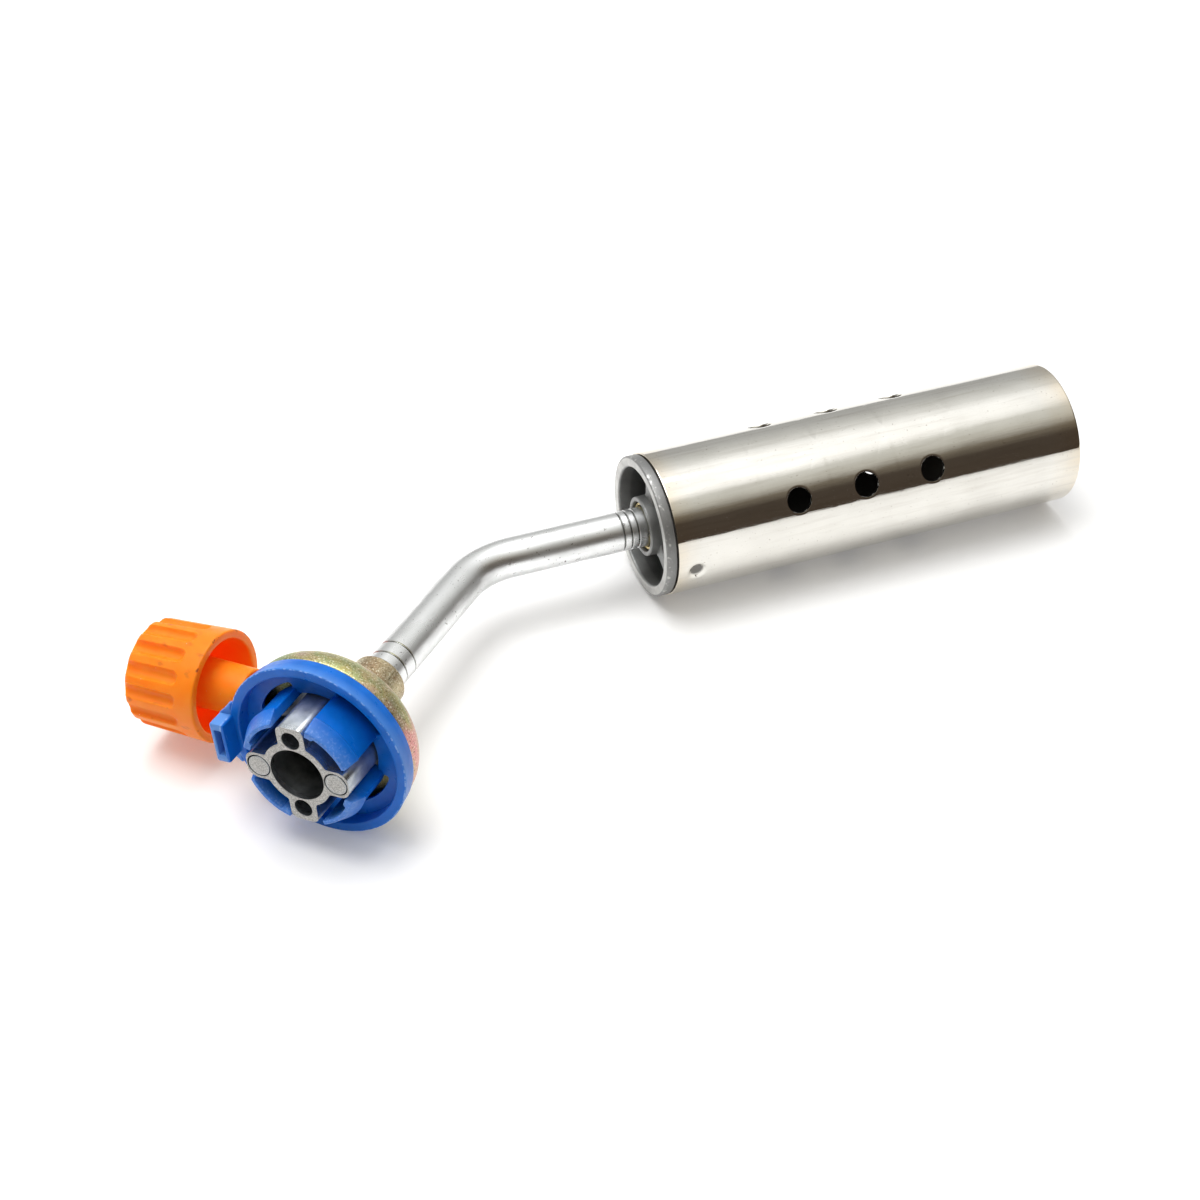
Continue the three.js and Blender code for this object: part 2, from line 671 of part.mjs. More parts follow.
// Straight from the valve, round the bend, straight to the burner, by arc length.
class TubeLine extends THREE.Curve {
  constructor() {
    super();
    this.tangent = BEND_RADIUS * Math.tan(BEND_ANGLE / 2);
    this.before = tubeStart - this.tangent;
    this.bend = BEND_RADIUS * BEND_ANGLE;
    this.after = tubeEnd - this.tangent;
  }

  getPoint(t, target = new THREE.Vector3()) {
    const along = t * (this.before + this.bend + this.after);
    if (along <= this.before) {
      return target.copy(toCartridge).multiplyScalar(tubeStart - along);
    }
    if (along >= this.before + this.bend) {
      return target.copy(toBurner).multiplyScalar(this.tangent + along - this.before - this.bend);
    }
    const left = BEND_ANGLE - (along - this.before) / BEND_RADIUS;
    target.set(this.tangent - BEND_RADIUS * Math.sin(left), -BEND_RADIUS * (1 - Math.cos(left)), 0);
    return target;
  }
}

function tubeRod(radius, segments) {
  const outline = new THREE.Shape();
  outline.absarc(0, 0, radius, 0, 2 * Math.PI);
  const geometry = new THREE.ExtrudeGeometry(outline, {
    steps: 20,
    curveSegments: segments / 2,
    bevelEnabled: false,
    extrudePath: new TubeLine(),
  });
  return toSolid(geometry);
}

// A shallow ring groove round the tube, at a distance from the bend corner along one leg.
function tubeGroove(distance, direction) {
  const cutter = ring(TUBE_RADIUS - TUBE_GROOVE_DEPTH, TUBE_RADIUS + 1,
    distance - TUBE_GROOVE_WIDTH / 2, distance + TUBE_GROOVE_WIDTH / 2, SMALL);
  const geometry = toGeometry(cutter);
  geometry.applyQuaternion(new THREE.Quaternion().setFromUnitVectors(up, direction));
  return toSolid(geometry);
}

function makeGasTube() {
  const grooves = [
    ...BOSS_GROOVE_FROM_FACE.map((step) => tubeGroove(bossFace - step, toCartridge)),
    ...RING_GROOVE_FROM_FACE.map((step) => tubeGroove(ringRear - step, toBurner)),
  ];
  const bore = tubeRod(TUBE_RADIUS - TUBE_WALL, SMALL);
  const rod = tubeRod(TUBE_RADIUS, SMALL);
  return cutAll(rod, grooves).subtract(bore);
}

// ---- Burner, in the burner's frame; +Z runs towards the mouth -----------------------------

function makeSpoke(direction) {
  const length = RING_OPENING_RADIUS - hubOuter + 0.6;
  const spoke = block(
    [hubOuter + length / 2 - 0.3, 0, ringRear + SPOKE_RECESS + SPOKE_LENGTH / 2],
    [length, SPOKE_WIDTH, SPOKE_LENGTH]);
  return turned(spoke, direction);
}

// Flange behind the sleeve, spigot inside it, and a hub on three spokes.
function makeBurnerRing() {
  const flangeRadius = SLEEVE_RADIUS - RING_FLANGE_STEP;
  const flange = ring(RING_OPENING_RADIUS, flangeRadius, ringRear, ringRear + RING_FLANGE, FINE);
  const spigot = ring(RING_OPENING_RADIUS, spigotRadius, ringRear + 1, sleeveRear + RING_SPIGOT, FINE);
  const hub = ring(hubInner, hubOuter, ringRear, ringRear + HUB_LENGTH);
  return addAll(flange, [spigot, hub, ...around(SPOKE_COUNT, Math.PI / 2, makeSpoke)]);
}

function makeVentRow(direction) {
  let row = null;
  for (let i = 0; i < VENTS_PER_ROW; i += 1) {
    const height = sleeveRear + VENT_FIRST + i * VENT_PITCH;
    const drill = bar(VENT_RADIUS, sleeveInner / 2, SLEEVE_RADIUS + 1, SMALL).rotate([0, 90, 0]);
    const placed = turned(drill, direction).translate([0, 0, height]);
    row = row ? row.add(placed) : placed;
  }
  return row;
}

// A shallow spherical dent in the outside of the sleeve.
function makeDimple(direction) {
  const radius = (DIMPLE_RADIUS ** 2 + DIMPLE_DEPTH ** 2) / (2 * DIMPLE_DEPTH);
  const ball = new THREE.SphereGeometry(radius, MEDIUM, SMALL);
  ball.translate(SLEEVE_RADIUS - DIMPLE_DEPTH + radius, 0, 0);
  return turned(toSolid(ball), direction).translate([0, 0, sleeveRear + DIMPLE_FROM_EDGE]);
}

function makeBurnerSleeve() {
  const tube = ring(sleeveInner, SLEEVE_RADIUS, sleeveRear, sleeveFront, FINE);
  return cutAll(tube, [
    ...around(VENT_ROWS, VENT_PHASE, makeVentRow),
    ...around(DIMPLE_COUNT, DIMPLE_PHASE, makeDimple),
  ]);
}

function makeJetHolder() {
  const body = bar(holderOuter, holderRear, holderFront);
  return cutAll(body, [
    bar(holderInner, holderRear - 1, holderRear + HOLDER_SOCKET, SMALL),
    bar(HOLDER_PASSAGE_RADIUS, holderRear, holderFront + 1, SMALL),
  ]);
}

function makeJetFilter() {
  const rear = holderRear + HOLDER_SOCKET + GAP;
  return bar(HOLDER_PASSAGE_RADIUS - GAP, rear, rear + JET_FILTER_THICKNESS, SMALL);
}

function makeJetNozzle() {
  const headRear = holderFront + GAP;
  const shank = bar(HOLDER_PASSAGE_RADIUS - GAP, holderFront - JET_SHANK_LENGTH, headRear + 0.1, SMALL);
  const head = hexagon(JET_HEAD_FLATS, headRear, headRear + JET_HEAD_LENGTH);
  return shank.add(head).subtract(bar(JET_ORIFICE_RADIUS, 0, 2 * REACH, 8));
}

// ---- Finishes and assembly ----------------------------------------------------------------

const FINISHES = {
  passivatedZinc: { color: 0xa39a66, roughness: 0.45, metalness: 0.9 },
  bareZinc: { color: 0x9a9ea0, roughness: 0.5, metalness: 0.9 },
  castRing: { color: 0x7d8082, roughness: 0.55, metalness: 0.85 },
  platedTube: { color: 0xd4d6d8, roughness: 0.2, metalness: 1 },
  stainless: { color: 0xc9c4b8, roughness: 0.16, metalness: 1 },
  brass: { color: 0xb59a4e, roughness: 0.35, metalness: 1 },
  bluePlastic: { color: 0x0e57c4, roughness: 0.35, metalness: 0 },
  orangePlastic: { color: 0xff7a14, roughness: 0.4, metalness: 0 },
  rubber: { color: 0x1c1c1e, roughness: 0.85, metalness: 0 },
};

function piece(name, solid, finish) {
  const material = new THREE.MeshStandardMaterial(FINISHES[finish]);
  const mesh = new THREE.Mesh(toGeometry(solid), material);
  mesh.name = name;
  return mesh;
}

// A group turned so that its own axes lie along the three given directions.
function frameGroup(x, y, z) {
  const group = new THREE.Group();
  group.quaternion.setFromRotationMatrix(new THREE.Matrix4().makeBasis(x, y, z));
  return group;
}

// Knob, spindle and what sits round them: +Z outwards, on the side away from the burner.
const knobAxis = frameGroup(
  new THREE.Vector3(0, 0, -1), new THREE.Vector3(0, -1, 0), new THREE.Vector3(-1, 0, 0));
knobAxis.position.set(0, 0, spindleHeight);
knobAxis.add(
  piece("valve_seat", makeValveSeat(), "brass"),
  piece("spindle", makeSpindle(), "brass"),
  piece("spindle_o_ring", makeSpindleORing(), "rubber"),
  piece("gland_nut", makeGlandNut(), "brass"),
  piece("knob", makeKnob(), "orangePlastic"),
  piece("knob_screw", makeKnobScrew(), "bareZinc"));

// Valve frame: +Z towards the cartridge, +Y up but for the valve's turn, the knob on -X.
const valveAxis = frameGroup(new THREE.Vector3().crossVectors(up, toCartridge), up, toCartridge);
valveAxis.rotateZ(HEAD_TURN);
valveAxis.add(
  knobAxis,
  piece("valve_body", makeValveBody(), "passivatedZinc"),
  piece("tube_seal", makeTubeSeal(), "rubber"),
  piece("body_gasket", makeBodyGasket(), "rubber"),
  piece("connector_plug", makeConnectorPlug(), "bareZinc"),
  piece("stake_pin_knob_side", makeStakePin(-1), "bareZinc"),
  piece("stake_pin_burner_side", makeStakePin(1), "bareZinc"),
  piece("inlet_filter", makeInletFilter(), "brass"),
  piece("inlet_probe", makeInletProbe(), "brass"),
  piece("inlet_seal", makeInletSeal(), "rubber"),
  piece("lock_collar", turned(makeLockCollar(), COLLAR_TURN), "bluePlastic"));

// Burner frame: +Z towards the mouth, +Y up.
const burnerAxis = frameGroup(new THREE.Vector3().crossVectors(up, toBurner), up, toBurner);
burnerAxis.add(
  piece("burner_ring", makeBurnerRing(), "castRing"),
  piece("burner_sleeve", makeBurnerSleeve(), "stainless"),
  piece("jet_holder", makeJetHolder(), "brass"),
  piece("jet_filter", makeJetFilter(), "brass"),
  piece("jet_nozzle", makeJetNozzle(), "brass"));

// The height of the rim's lowest point equals that of the sleeve's when the cartridge axis
// climbs at this sine: rimFace * s - COLLAR_RADIUS * sqrt(1 - s * s) = -SLEEVE_RADIUS.
function climbAtRest() {
  const a = rimFace ** 2 + COLLAR_RADIUS ** 2;
  const b = rimFace * SLEEVE_RADIUS;
  const c = SLEEVE_RADIUS ** 2 - COLLAR_RADIUS ** 2;
  return (Math.sqrt(b * b - a * c) - b) / a;
}

const lying = new THREE.Group();
lying.rotation.x = -Math.asin(climbAtRest() / Math.sin(BEND_ANGLE));
lying.add(piece("gas_tube", makeGasTube(), "platedTube"), valveAxis, burnerAxis);

const torch = new THREE.Group();
torch.add(lying);
torch.updateMatrixWorld(true);
const bounds = new THREE.Box3().setFromObject(torch, true);
const middle = bounds.getCenter(new THREE.Vector3());
lying.position.set(-middle.x, -middle.y, -bounds.min.z);

export default torch;
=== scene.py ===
# %% [markdown]
# # A gas torch head, piece by piece
#
# The torch locks onto a gas cartridge with a blue bayonet collar. Gas passes a needle valve under an
# orange knob, runs up a bent plated tube, and burns in a steel tube with rows of vents.
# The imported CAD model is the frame: it says where every piece sits and how it moves. Each piece that
# shows is made again here as a fine surface, and the pieces that are sealed inside keep their CAD mesh.

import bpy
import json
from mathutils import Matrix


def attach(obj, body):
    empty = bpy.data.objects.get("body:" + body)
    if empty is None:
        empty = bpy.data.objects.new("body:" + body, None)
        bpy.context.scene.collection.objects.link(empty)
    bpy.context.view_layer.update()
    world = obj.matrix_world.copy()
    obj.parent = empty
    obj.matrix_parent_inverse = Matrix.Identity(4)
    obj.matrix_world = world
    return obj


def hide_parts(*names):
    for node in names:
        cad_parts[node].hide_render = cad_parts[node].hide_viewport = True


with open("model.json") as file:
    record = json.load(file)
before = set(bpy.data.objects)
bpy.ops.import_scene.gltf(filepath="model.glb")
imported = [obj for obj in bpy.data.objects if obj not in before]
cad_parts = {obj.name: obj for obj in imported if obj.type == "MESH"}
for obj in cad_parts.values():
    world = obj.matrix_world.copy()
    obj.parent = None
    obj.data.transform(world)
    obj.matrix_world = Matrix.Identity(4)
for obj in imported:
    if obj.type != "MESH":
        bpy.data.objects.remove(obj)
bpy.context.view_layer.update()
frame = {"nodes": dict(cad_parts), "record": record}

# %% [markdown]
# ## Three frames to work in
#
# A turned piece is easy to describe along its own axis: radius, angle and height. The torch has three
# such axes. The burner lies along X, the valve axis points at the cartridge, and the knob's axis
# crosses the valve axis, a few degrees out of the plane of the bend. The valve axis comes from the
# face that the cartridge rests on, the knob's from its hinge. Where they cross each other and the
# burner follows from the CAD pieces on them.

# %% The valve's, the knob's and the burner's own frames
import json
import math

import bpy
import numpy as np
from mathutils import Vector

MM = 0.001
record = frame["record"]
behaviour = record["behaviour"]


def unit(vector):
    """A vector divided by its own length."""
    return np.asarray(vector, float) / np.linalg.norm(vector)


def corners(node):
    """All vertices of a CAD node, in metres."""
    vertices = frame["nodes"][node].data.vertices
    flat = np.empty(3 * len(vertices))
    vertices.foreach_get("co", flat)
    return flat.reshape(-1, 3)


class Axis:
    """A frame of a piece's own, in millimetres."""

    def __init__(self, origin, x, y, z):
        """An origin in metres, and three unit vectors at right angles as the rows of a turn."""
        self.origin = np.asarray(origin, float)
        self.turn = np.stack([x, y, z])

    def place(self, points):
        """Own millimetres to metres in the model: origin plus each coordinate times its direction."""
        return self.origin + MM * np.asarray(points) @ self.turn

    def measure(self, node):
        """The reverse for a CAD node's vertices: metres in the model to own millimetres."""
        return (corners(node) - self.origin) / MM @ self.turn.T

    def reach(self, node):
        """Where a CAD node starts and ends along this axis, and its largest radius."""
        x, y, z = self.measure(node).T
        return z.min(), z.max(), np.hypot(x, y).max()


def middle_line(node, x, y):
    """A point on a round node's axis: halfway between its outermost vertices both ways across."""
    points = corners(node)
    return sum(d * ((points @ d).min() + (points @ d).max()) / 2 for d in (x, y))


seat = next(mount for mount in record["mounts"] if mount["name"] == "cartridge_seat")
rim = next(mount for mount in record["mounts"] if mount["name"] == "collar_face")
hinge = next(joint for joint in behaviour["joints"] if joint["name"] == "knob_turn")

to_burner = np.array([1.0, 0.0, 0.0])
to_cartridge = unit(seat["axis"])
out_of_bend = unit(np.cross(to_cartridge, to_burner))
across_burner = np.cross(out_of_bend, to_burner)
in_plane = np.cross(out_of_bend, to_cartridge)
across_valve = -unit(hinge["axis"])
up_valve = np.cross(to_cartridge, across_valve)

on_burner = middle_line("burner_sleeve", across_burner, out_of_bend)
on_valve = middle_line("inlet_probe", in_plane, out_of_bend)
steps_back = (on_burner - on_valve) @ across_burner / (to_cartridge @ across_burner)
bend_corner = on_valve + steps_back * to_cartridge
burner = Axis(bend_corner, across_burner, out_of_bend, to_burner)
valve = Axis(bend_corner, across_valve, up_valve, to_cartridge)

hinge_height = (np.array(hinge["pos_m"]) - bend_corner) @ to_cartridge
knob_axis = Axis(bend_corner + hinge_height * to_cartridge, -to_cartridge, -up_valve, -across_valve)

plug_tip = (np.array(seat["pos_m"]) - bend_corner) @ to_cartridge / MM
rim_face = (np.array(rim["pos_m"]) - bend_corner) @ to_cartridge / MM
print("bend corner", bend_corner.round(5))
print("knob axis crosses the valve's", round(hinge_height / MM, 2), "mm from there")
print("plug tip at", round(plug_tip, 2), "and rim face at", round(rim_face, 2), "mm")
print("sleeve from, to, radius:", [round(value, 2) for value in burner.reach("burner_sleeve")])

# %% [markdown]
# ## From a grid of points to a mesh
#
# Every surface below is a grid: rows of points that follow each other, worked out as one numpy array.
# `skin` turns a grid into four-sided faces. Grids that share an edge are welded, so that a piece made
# of several grids is still one closed body. A row that shrinks to one point is a pole, and the faces
# there become triangles. The sign of the enclosed volume says whether the faces point outwards.

# %% Skins and welding
WELD_GRAIN = 0.000137  # mm: points closer than this become one


def skin(rows, wrap_rows=False, wrap_columns=True):
    """Four neighbouring grid points make a face; a wrapped direction also joins last to first."""
    rows = np.asarray(rows, float)
    index = np.arange(rows.shape[0] * rows.shape[1]).reshape(rows.shape[:2])
    if wrap_rows:
        index = np.vstack([index, index[:1]])
    if wrap_columns:
        index = np.hstack([index, index[:, :1]])
    around = [index[:-1, :-1], index[:-1, 1:], index[1:, 1:], index[1:, :-1]]
    return rows.reshape(-1, 3), np.stack(around, axis=-1).reshape(-1, 4)


def welded(*skins):
    """The skins as one body: points that share a place to the weld grain become one point."""
    starts = np.cumsum([0] + [len(points) for points, _ in skins])
    points = np.concatenate([points for points, _ in skins])
    faces = np.concatenate([faces + start for (_, faces), start in zip(skins, starts)])
    keys = np.round(points / WELD_GRAIN).astype(np.int64)
    _, first, back = np.unique(keys, axis=0, return_index=True, return_inverse=True)
    return points[first], back.reshape(-1)[faces]


def outward(points, faces):
    """Faces turned over if the volume that they enclose, summed by triangles, is negative."""
    a, b, c, d = (points[faces[:, k]] for k in range(4))
    volume = np.sum(a * np.cross(b, c)) + np.sum(a * np.cross(c, d))
    return faces if volume > 0 else faces[:, ::-1]


def without_doubles(faces):
    """Whole quads, and triangles from the quads that name one point twice in a row."""
    doubled = faces == np.roll(faces, -1, axis=1)
    crossed = (faces[:, 0] == faces[:, 2]) | (faces[:, 1] == faces[:, 3])
    quads = faces[(doubled.sum(axis=1) == 0) & ~crossed]
    pinched = (doubled.sum(axis=1) == 1) & ~crossed
    kept = faces[pinched][~doubled[pinched]].reshape(-1, 3)
    return quads.tolist() + kept.tolist()


# %% [markdown]
# A piece is one or more such bodies in one mesh. It stands for one CAD node, so it takes over that
# node's body, which moves it. The mesh also keeps the own coordinates of every point. Object
# coordinates would do for a straight piece, but the tube is bent and the knob lies askew, and grain
# should follow the metal.

# %% An object from closed bodies
SHARP_ANGLE = math.radians(38)


def body_of(node):
    """The name of the CAD body that a node belongs to."""
    return next(name for name, nodes in behaviour["bodies"].items() if node in nodes)


def slot_of(node):
    """The record's material slot of a node."""
    return next(part["material_slot"] for part in record["subparts"] if part["node"] == node)


def make_piece(name, node, bodies, place, finish):
    """An object from closed bodies in own millimetres, standing for one CAD node.
    Its vertices also carry the own coordinates, in the attribute that the finishes read."""
    counts = np.cumsum([0] + [len(points) for points, _ in bodies])
    local = np.concatenate([points for points, _ in bodies])
    faces = []
    for (points, quads), start in zip(bodies, counts):
        turned = outward(place(points) - bend_corner, quads)
        faces += without_doubles(turned + start)
    mesh = bpy.data.meshes.new(name)
    mesh.from_pydata(place(local).tolist(), [], faces)
    own = mesh.attributes.new("own_mm", "FLOAT_VECTOR", "POINT")
    own.data.foreach_set("vector", local.astype(np.float32).ravel())
    mesh.shade_smooth()
    mesh.set_sharp_from_angle(angle=SHARP_ANGLE)
    mesh.materials.append(finish)
    piece = bpy.data.objects.new(name, mesh)
    bpy.context.scene.collection.objects.link(piece)
    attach(piece, body_of(node))
    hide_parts(node)
    print(f"{name}: {len(mesh.vertices)} vertices, {len(mesh.polygons)} faces")


# %% [markdown]
# ## Turned profiles
#
# Most of the torch is turned or cast round an axis, so most pieces are a profile spun round it. The
# Screw modifier could do this, but a grid of numpy points can also be cut, bent and dented by formula
# before it becomes a mesh. No real piece has a knife-sharp corner, so each corner of a profile is
# replaced by a short parabola, which catches the light as a broken edge does.

# %% Rounding, refining and spinning a profile
FINE = 256  # columns round the pieces that show most
SMOOTH = 128  # columns round the others
CORNER_STEPS = 5


def rounded(outline, corner, closed=True, steps=CORNER_STEPS):
    """Each corner becomes a parabola that leaves one side and joins the next, corner mm away."""
    points = np.asarray(outline, float)
    back = np.roll(points, 1, axis=0) - points
    ahead = np.roll(points, -1, axis=0) - points
    back_size = np.linalg.norm(back, axis=1, keepdims=True)
    ahead_size = np.linalg.norm(ahead, axis=1, keepdims=True)
    cut = np.broadcast_to(np.asarray(corner, float), len(points))[:, None].copy()
    cut = np.minimum(cut, 0.45 * np.minimum(back_size, ahead_size))
    if not closed:
        cut[[0, -1]] = 0
    leave = (points + back / np.maximum(back_size, 1e-9) * cut)[:, None]
    join = (points + ahead / np.maximum(ahead_size, 1e-9) * cut)[:, None]
    s = np.linspace(0, 1, steps)[None, :, None]
    return ((1 - s) ** 2 * leave + 2 * s * (1 - s) * points[:, None] + s**2 * join).reshape(-1, 2)


def refined(profile, step):
    """The same profile with more points on it, so that no two are further apart than step."""
    sizes = np.linalg.norm(np.diff(profile, axis=0), axis=1)
    travelled = np.concatenate([[0], np.cumsum(sizes)])
    stops = np.union1d(travelled, np.arange(0, travelled[-1], step))
    return np.stack([np.interp(stops, travelled, profile[:, k]) for k in range(2)], axis=1)


def once_round(columns, start=0.0):
    """Evenly spaced angles from a start, once round and without the start again."""
    return start + np.linspace(0, 2 * np.pi, columns, endpoint=False)


def polar(radius, angle, height):
    """x = radius cos angle, y = radius sin angle, z = height."""
    radius, angle, height = np.broadcast_arrays(radius, angle, height)
    return np.stack([radius * np.cos(angle), radius * np.sin(angle), height], axis=-1)


def spun(profile, columns=SMOOTH, closed=True):
    """A profile of radius and height, repeated for every angle round the axis."""
    radius, height = np.asarray(profile)[:, 0, None], np.asarray(profile)[:, 1, None]
    return welded(skin(polar(radius, once_round(columns), height), wrap_rows=closed))


def turned(body, angle):
    """A body turned round its own z axis: x and y mixed by the angle's cosine and sine."""
    points, faces = body
    c, s = math.cos(angle), math.sin(angle)
    return points @ np.array([[c, s, 0], [-s, c, 0], [0, 0, 1]]), faces


def soft_step(value, start, end):
    """0 before start, 1 after end, and 3 t squared less 2 t cubed for the share t in between."""
    t = np.clip((value - start) / (end - start), 0, 1)
    return t * t * (3 - 2 * t)


# %% [markdown]
# ## Rounded rectangles and bricks
#
# A rectangle with round corners is the walk round a square with its corners pulled in, and with the
# corner as large as the rectangle it is a circle. A brick is the same with a third direction. A cube
# with a Bevel modifier would look alike, but this brick keeps its rows and columns, so that it can be
# bent into a finger, a spoke or a rib afterwards.

# %% Rounded rectangles and bricks
def square_walk(across, along):
    """Points round the square from -1 to 1, evenly spaced on each side, starting at a corner."""
    u = np.linspace(-1, 1, across + 1)[:-1]
    v = np.linspace(-1, 1, along + 1)[:-1]
    one, side = np.ones_like(u), np.ones_like(v)
    x = np.concatenate([u, side, -u, -side])
    y = np.concatenate([-one, v, one, -v])
    return np.stack([x, y], axis=1)


def pulled_in(points, half, corner):
    """Points on a box: the nearest point of a core box smaller by corner, then corner mm away."""
    half = np.asarray(half, float)
    scaled = points * half
    core = np.clip(scaled, corner - half, half - corner)
    away = scaled - core
    size = np.linalg.norm(away, axis=-1, keepdims=True)
    return core + corner * away / np.maximum(size, 1e-9)


def brick_stops(half, corner, count):
    """Places from -1 to 1 along one side of a brick, close together where the corner is round."""
    edge = 1 - corner / half
    bend = np.cos(np.linspace(0, np.pi / 2, 5))[:-1]
    ends = edge + (1 - edge) * bend
    return np.unique(np.concatenate([-ends, np.linspace(-edge, edge, count), ends]).round(9))


def brick(half, corner, counts=(4, 4, 4)):
    """The six sides of a cube as grids, scaled to half sizes and pulled in at edges and corners."""
    u, v, w = (brick_stops(size, corner, count) for size, count in zip(half, counts))
    sides = []
    for axis, first, second in ((0, v, w), (1, w, u), (2, u, v)):
        a, b = np.meshgrid(first, second, indexing="ij")
        for end in (-1.0, 1.0):
            side = np.empty(a.shape + (3,))
            side[..., axis] = end
            side[..., (axis + 1) % 3] = a
            side[..., (axis + 2) % 3] = b
            points, faces = skin(side, wrap_columns=False)
            sides.append((points, faces if end > 0 else faces[:, ::-1]))
    points, faces = welded(*sides)
    return pulled_in(points, half, corner), faces


# %% [markdown]
# ## A short way to write materials
#
# Each finish is a Principled shader whose colour, roughness and bump come from a few noises. The
# noises read the piece's own coordinates in millimetres, so a grain of 0.3 really is 0.3 mm on the
# metal, and brushing can run along a tube or round it. The CAD pieces inside have no such attribute,
# so their finishes read Object coordinates, scaled to millimetres.

# %% The finish builder
def srgb(red, green, blue):
    """Screen values from 0 to 255 as the linear colour that a shader takes."""
    value = np.array([red, green, blue]) / 255
    linear = np.where(value <= 0.04045, value / 12.92, ((value + 0.055) / 1.055) ** 2.4)
    return (*linear.tolist(), 1.0)


def fill_ramp(node, steps):
    """The colour stops of a ramp node, from pairs of a place between 0 and 1 and a colour."""
    elements = node.color_ramp.elements
    while len(elements) < len(steps):
        elements.new(0.5)
    for element, (position, colour) in zip(elements, steps):
        element.position = position
        element.color = colour
    return node.outputs["Color"]


class Finish:
    """A material with its shader, and one method for each kind of node that the torch needs."""

    def __init__(self, name, metallic=0.0, roughness=0.5, own=True, **sockets):
        """Constants go on the shader; the noises read own millimetres, or Object coordinates."""
        self.material = bpy.data.materials.new(name)
        self.material.use_nodes = True
        self.tree = self.material.node_tree
        self.shader = self.tree.nodes["Principled BSDF"]
        self.set("Metallic", metallic)
        self.set("Roughness", roughness)
        for socket, value in sockets.items():
            self.set(socket.replace("_", " "), value)
        if own:
            source = self.tree.nodes.new("ShaderNodeAttribute")
            source.attribute_name = "own_mm"
            self.place = source.outputs["Vector"]
        else:
            source = self.tree.nodes.new("ShaderNodeTexCoord")
            self.place = self.mapped(source.outputs["Object"], (1 / MM,) * 3)

    def set(self, socket, value):
        """The shader's own socket takes a number or a colour, or is fed by another node."""
        self.feed(self.shader, socket, value)

    def feed(self, node, socket, value):
        """A node's output is linked to the socket, and a number or a colour is set on it."""
        if isinstance(value, bpy.types.NodeSocket):
            self.tree.links.new(value, node.inputs[socket])
        else:
            node.inputs[socket].default_value = value

    def mapped(self, vector, scale, shift=(0, 0, 0)):
        """Coordinates multiplied by a scale for each direction, then moved by a shift."""
        node = self.tree.nodes.new("ShaderNodeMapping")
        node.inputs["Scale"].default_value = scale
        node.inputs["Location"].default_value = shift
        self.tree.links.new(vector, node.inputs["Vector"])
        return node.outputs["Vector"]

    def noise(self, size, detail=3.0, stretch=(1, 1, 1), shift=0.0):
        """Smooth random values; size is that of one blotch in mm, stretch lengthens it per axis."""
        node = self.tree.nodes.new("ShaderNodeTexNoise")
        node.inputs["Scale"].default_value = 1.0
        node.inputs["Detail"].default_value = detail
        scale = tuple(1 / (size * length) for length in stretch)
        self.feed(node, "Vector", self.mapped(self.place, scale, (shift, shift * 0.7, shift * 1.3)))
        return node.outputs["Fac"]

    def ramp(self, value, *steps):
        """A value read as a colour, from pairs of a value and its colour."""
        node = self.tree.nodes.new("ShaderNodeValToRGB")
        self.feed(node, "Fac", value)
        return fill_ramp(node, steps)

    def level(self, value, low, high, out_low=0.0, out_high=1.0):
        """A value stretched from one range to another, and held at its ends."""
        node = self.tree.nodes.new("ShaderNodeMapRange")
        for socket, number in zip(("From Min", "From Max", "To Min", "To Max"),
                                  (low, high, out_low, out_high)):
            node.inputs[socket].default_value = number
        self.feed(node, "Value", value)
        return node.outputs["Result"]

    def arithmetic(self, operation, first, second=0.0):
        """One Math node: the named operation on one value or two."""
        node = self.tree.nodes.new("ShaderNodeMath")
        node.operation = operation
        self.feed(node, 0, first)
        self.feed(node, 1, second)
        return node.outputs["Value"]

    def times(self, first, second):
        """The product, which is how one mask is held inside another."""
        return self.arithmetic("MULTIPLY", first, second)

    def plus(self, first, second):
        """The sum of two values."""
        return self.arithmetic("ADD", first, second)

    def larger(self, first, second):
        """The larger of two values, which lays one mask over another."""
        return self.arithmetic("MAXIMUM", first, second)

    def mix(self, share, first, second):
        """Two colours: the first less its share, plus that share of the second."""
        node = self.tree.nodes.new("ShaderNodeMix")
        node.data_type = "RGBA"
        self.feed(node, 0, share)
        self.feed(node, 6, first)
        self.feed(node, 7, second)
        return node.outputs[2]

    def axis(self, name):
        """One coordinate of the piece's own place, in mm."""
        node = self.tree.nodes.new("ShaderNodeSeparateXYZ")
        self.tree.links.new(self.place, node.inputs["Vector"])
        return node.outputs[name]

    def radius(self):
        """Distance from the piece's own z axis, in mm."""
        squares = [self.times(self.axis(name), self.axis(name)) for name in "XY"]
        return self.arithmetic("SQRT", self.plus(*squares))

    def bump(self, height, depth, strength=1.0):
        """Relief from a value, depth mm high, laid over any relief that is there already."""
        node = self.tree.nodes.new("ShaderNodeBump")
        node.inputs["Distance"].default_value = depth * MM
        node.inputs["Strength"].default_value = strength
        self.feed(node, "Height", height)
        if self.shader.inputs["Normal"].is_linked:
            before = self.shader.inputs["Normal"].links[0].from_socket
            self.tree.links.new(before, node.inputs["Normal"])
        self.tree.links.new(node.outputs["Normal"], self.shader.inputs["Normal"])
        return self


# %% [markdown]
# ## The burner sleeve
#
# A drawn stainless tube, 30 mm across, with four rows of three vents and two small dimples that
# lock it onto the ring inside. Cutting holes with booleans leaves long thin faces that spoil the
# reflections. Instead the tube is unrolled into flat panels, one for each vent. The grid of a panel
# runs from its rectangular edge to the round hole, over the hole's broken edge, through the wall and
# back along the inside. Then the panels are rolled up again, and they weld to their neighbours.

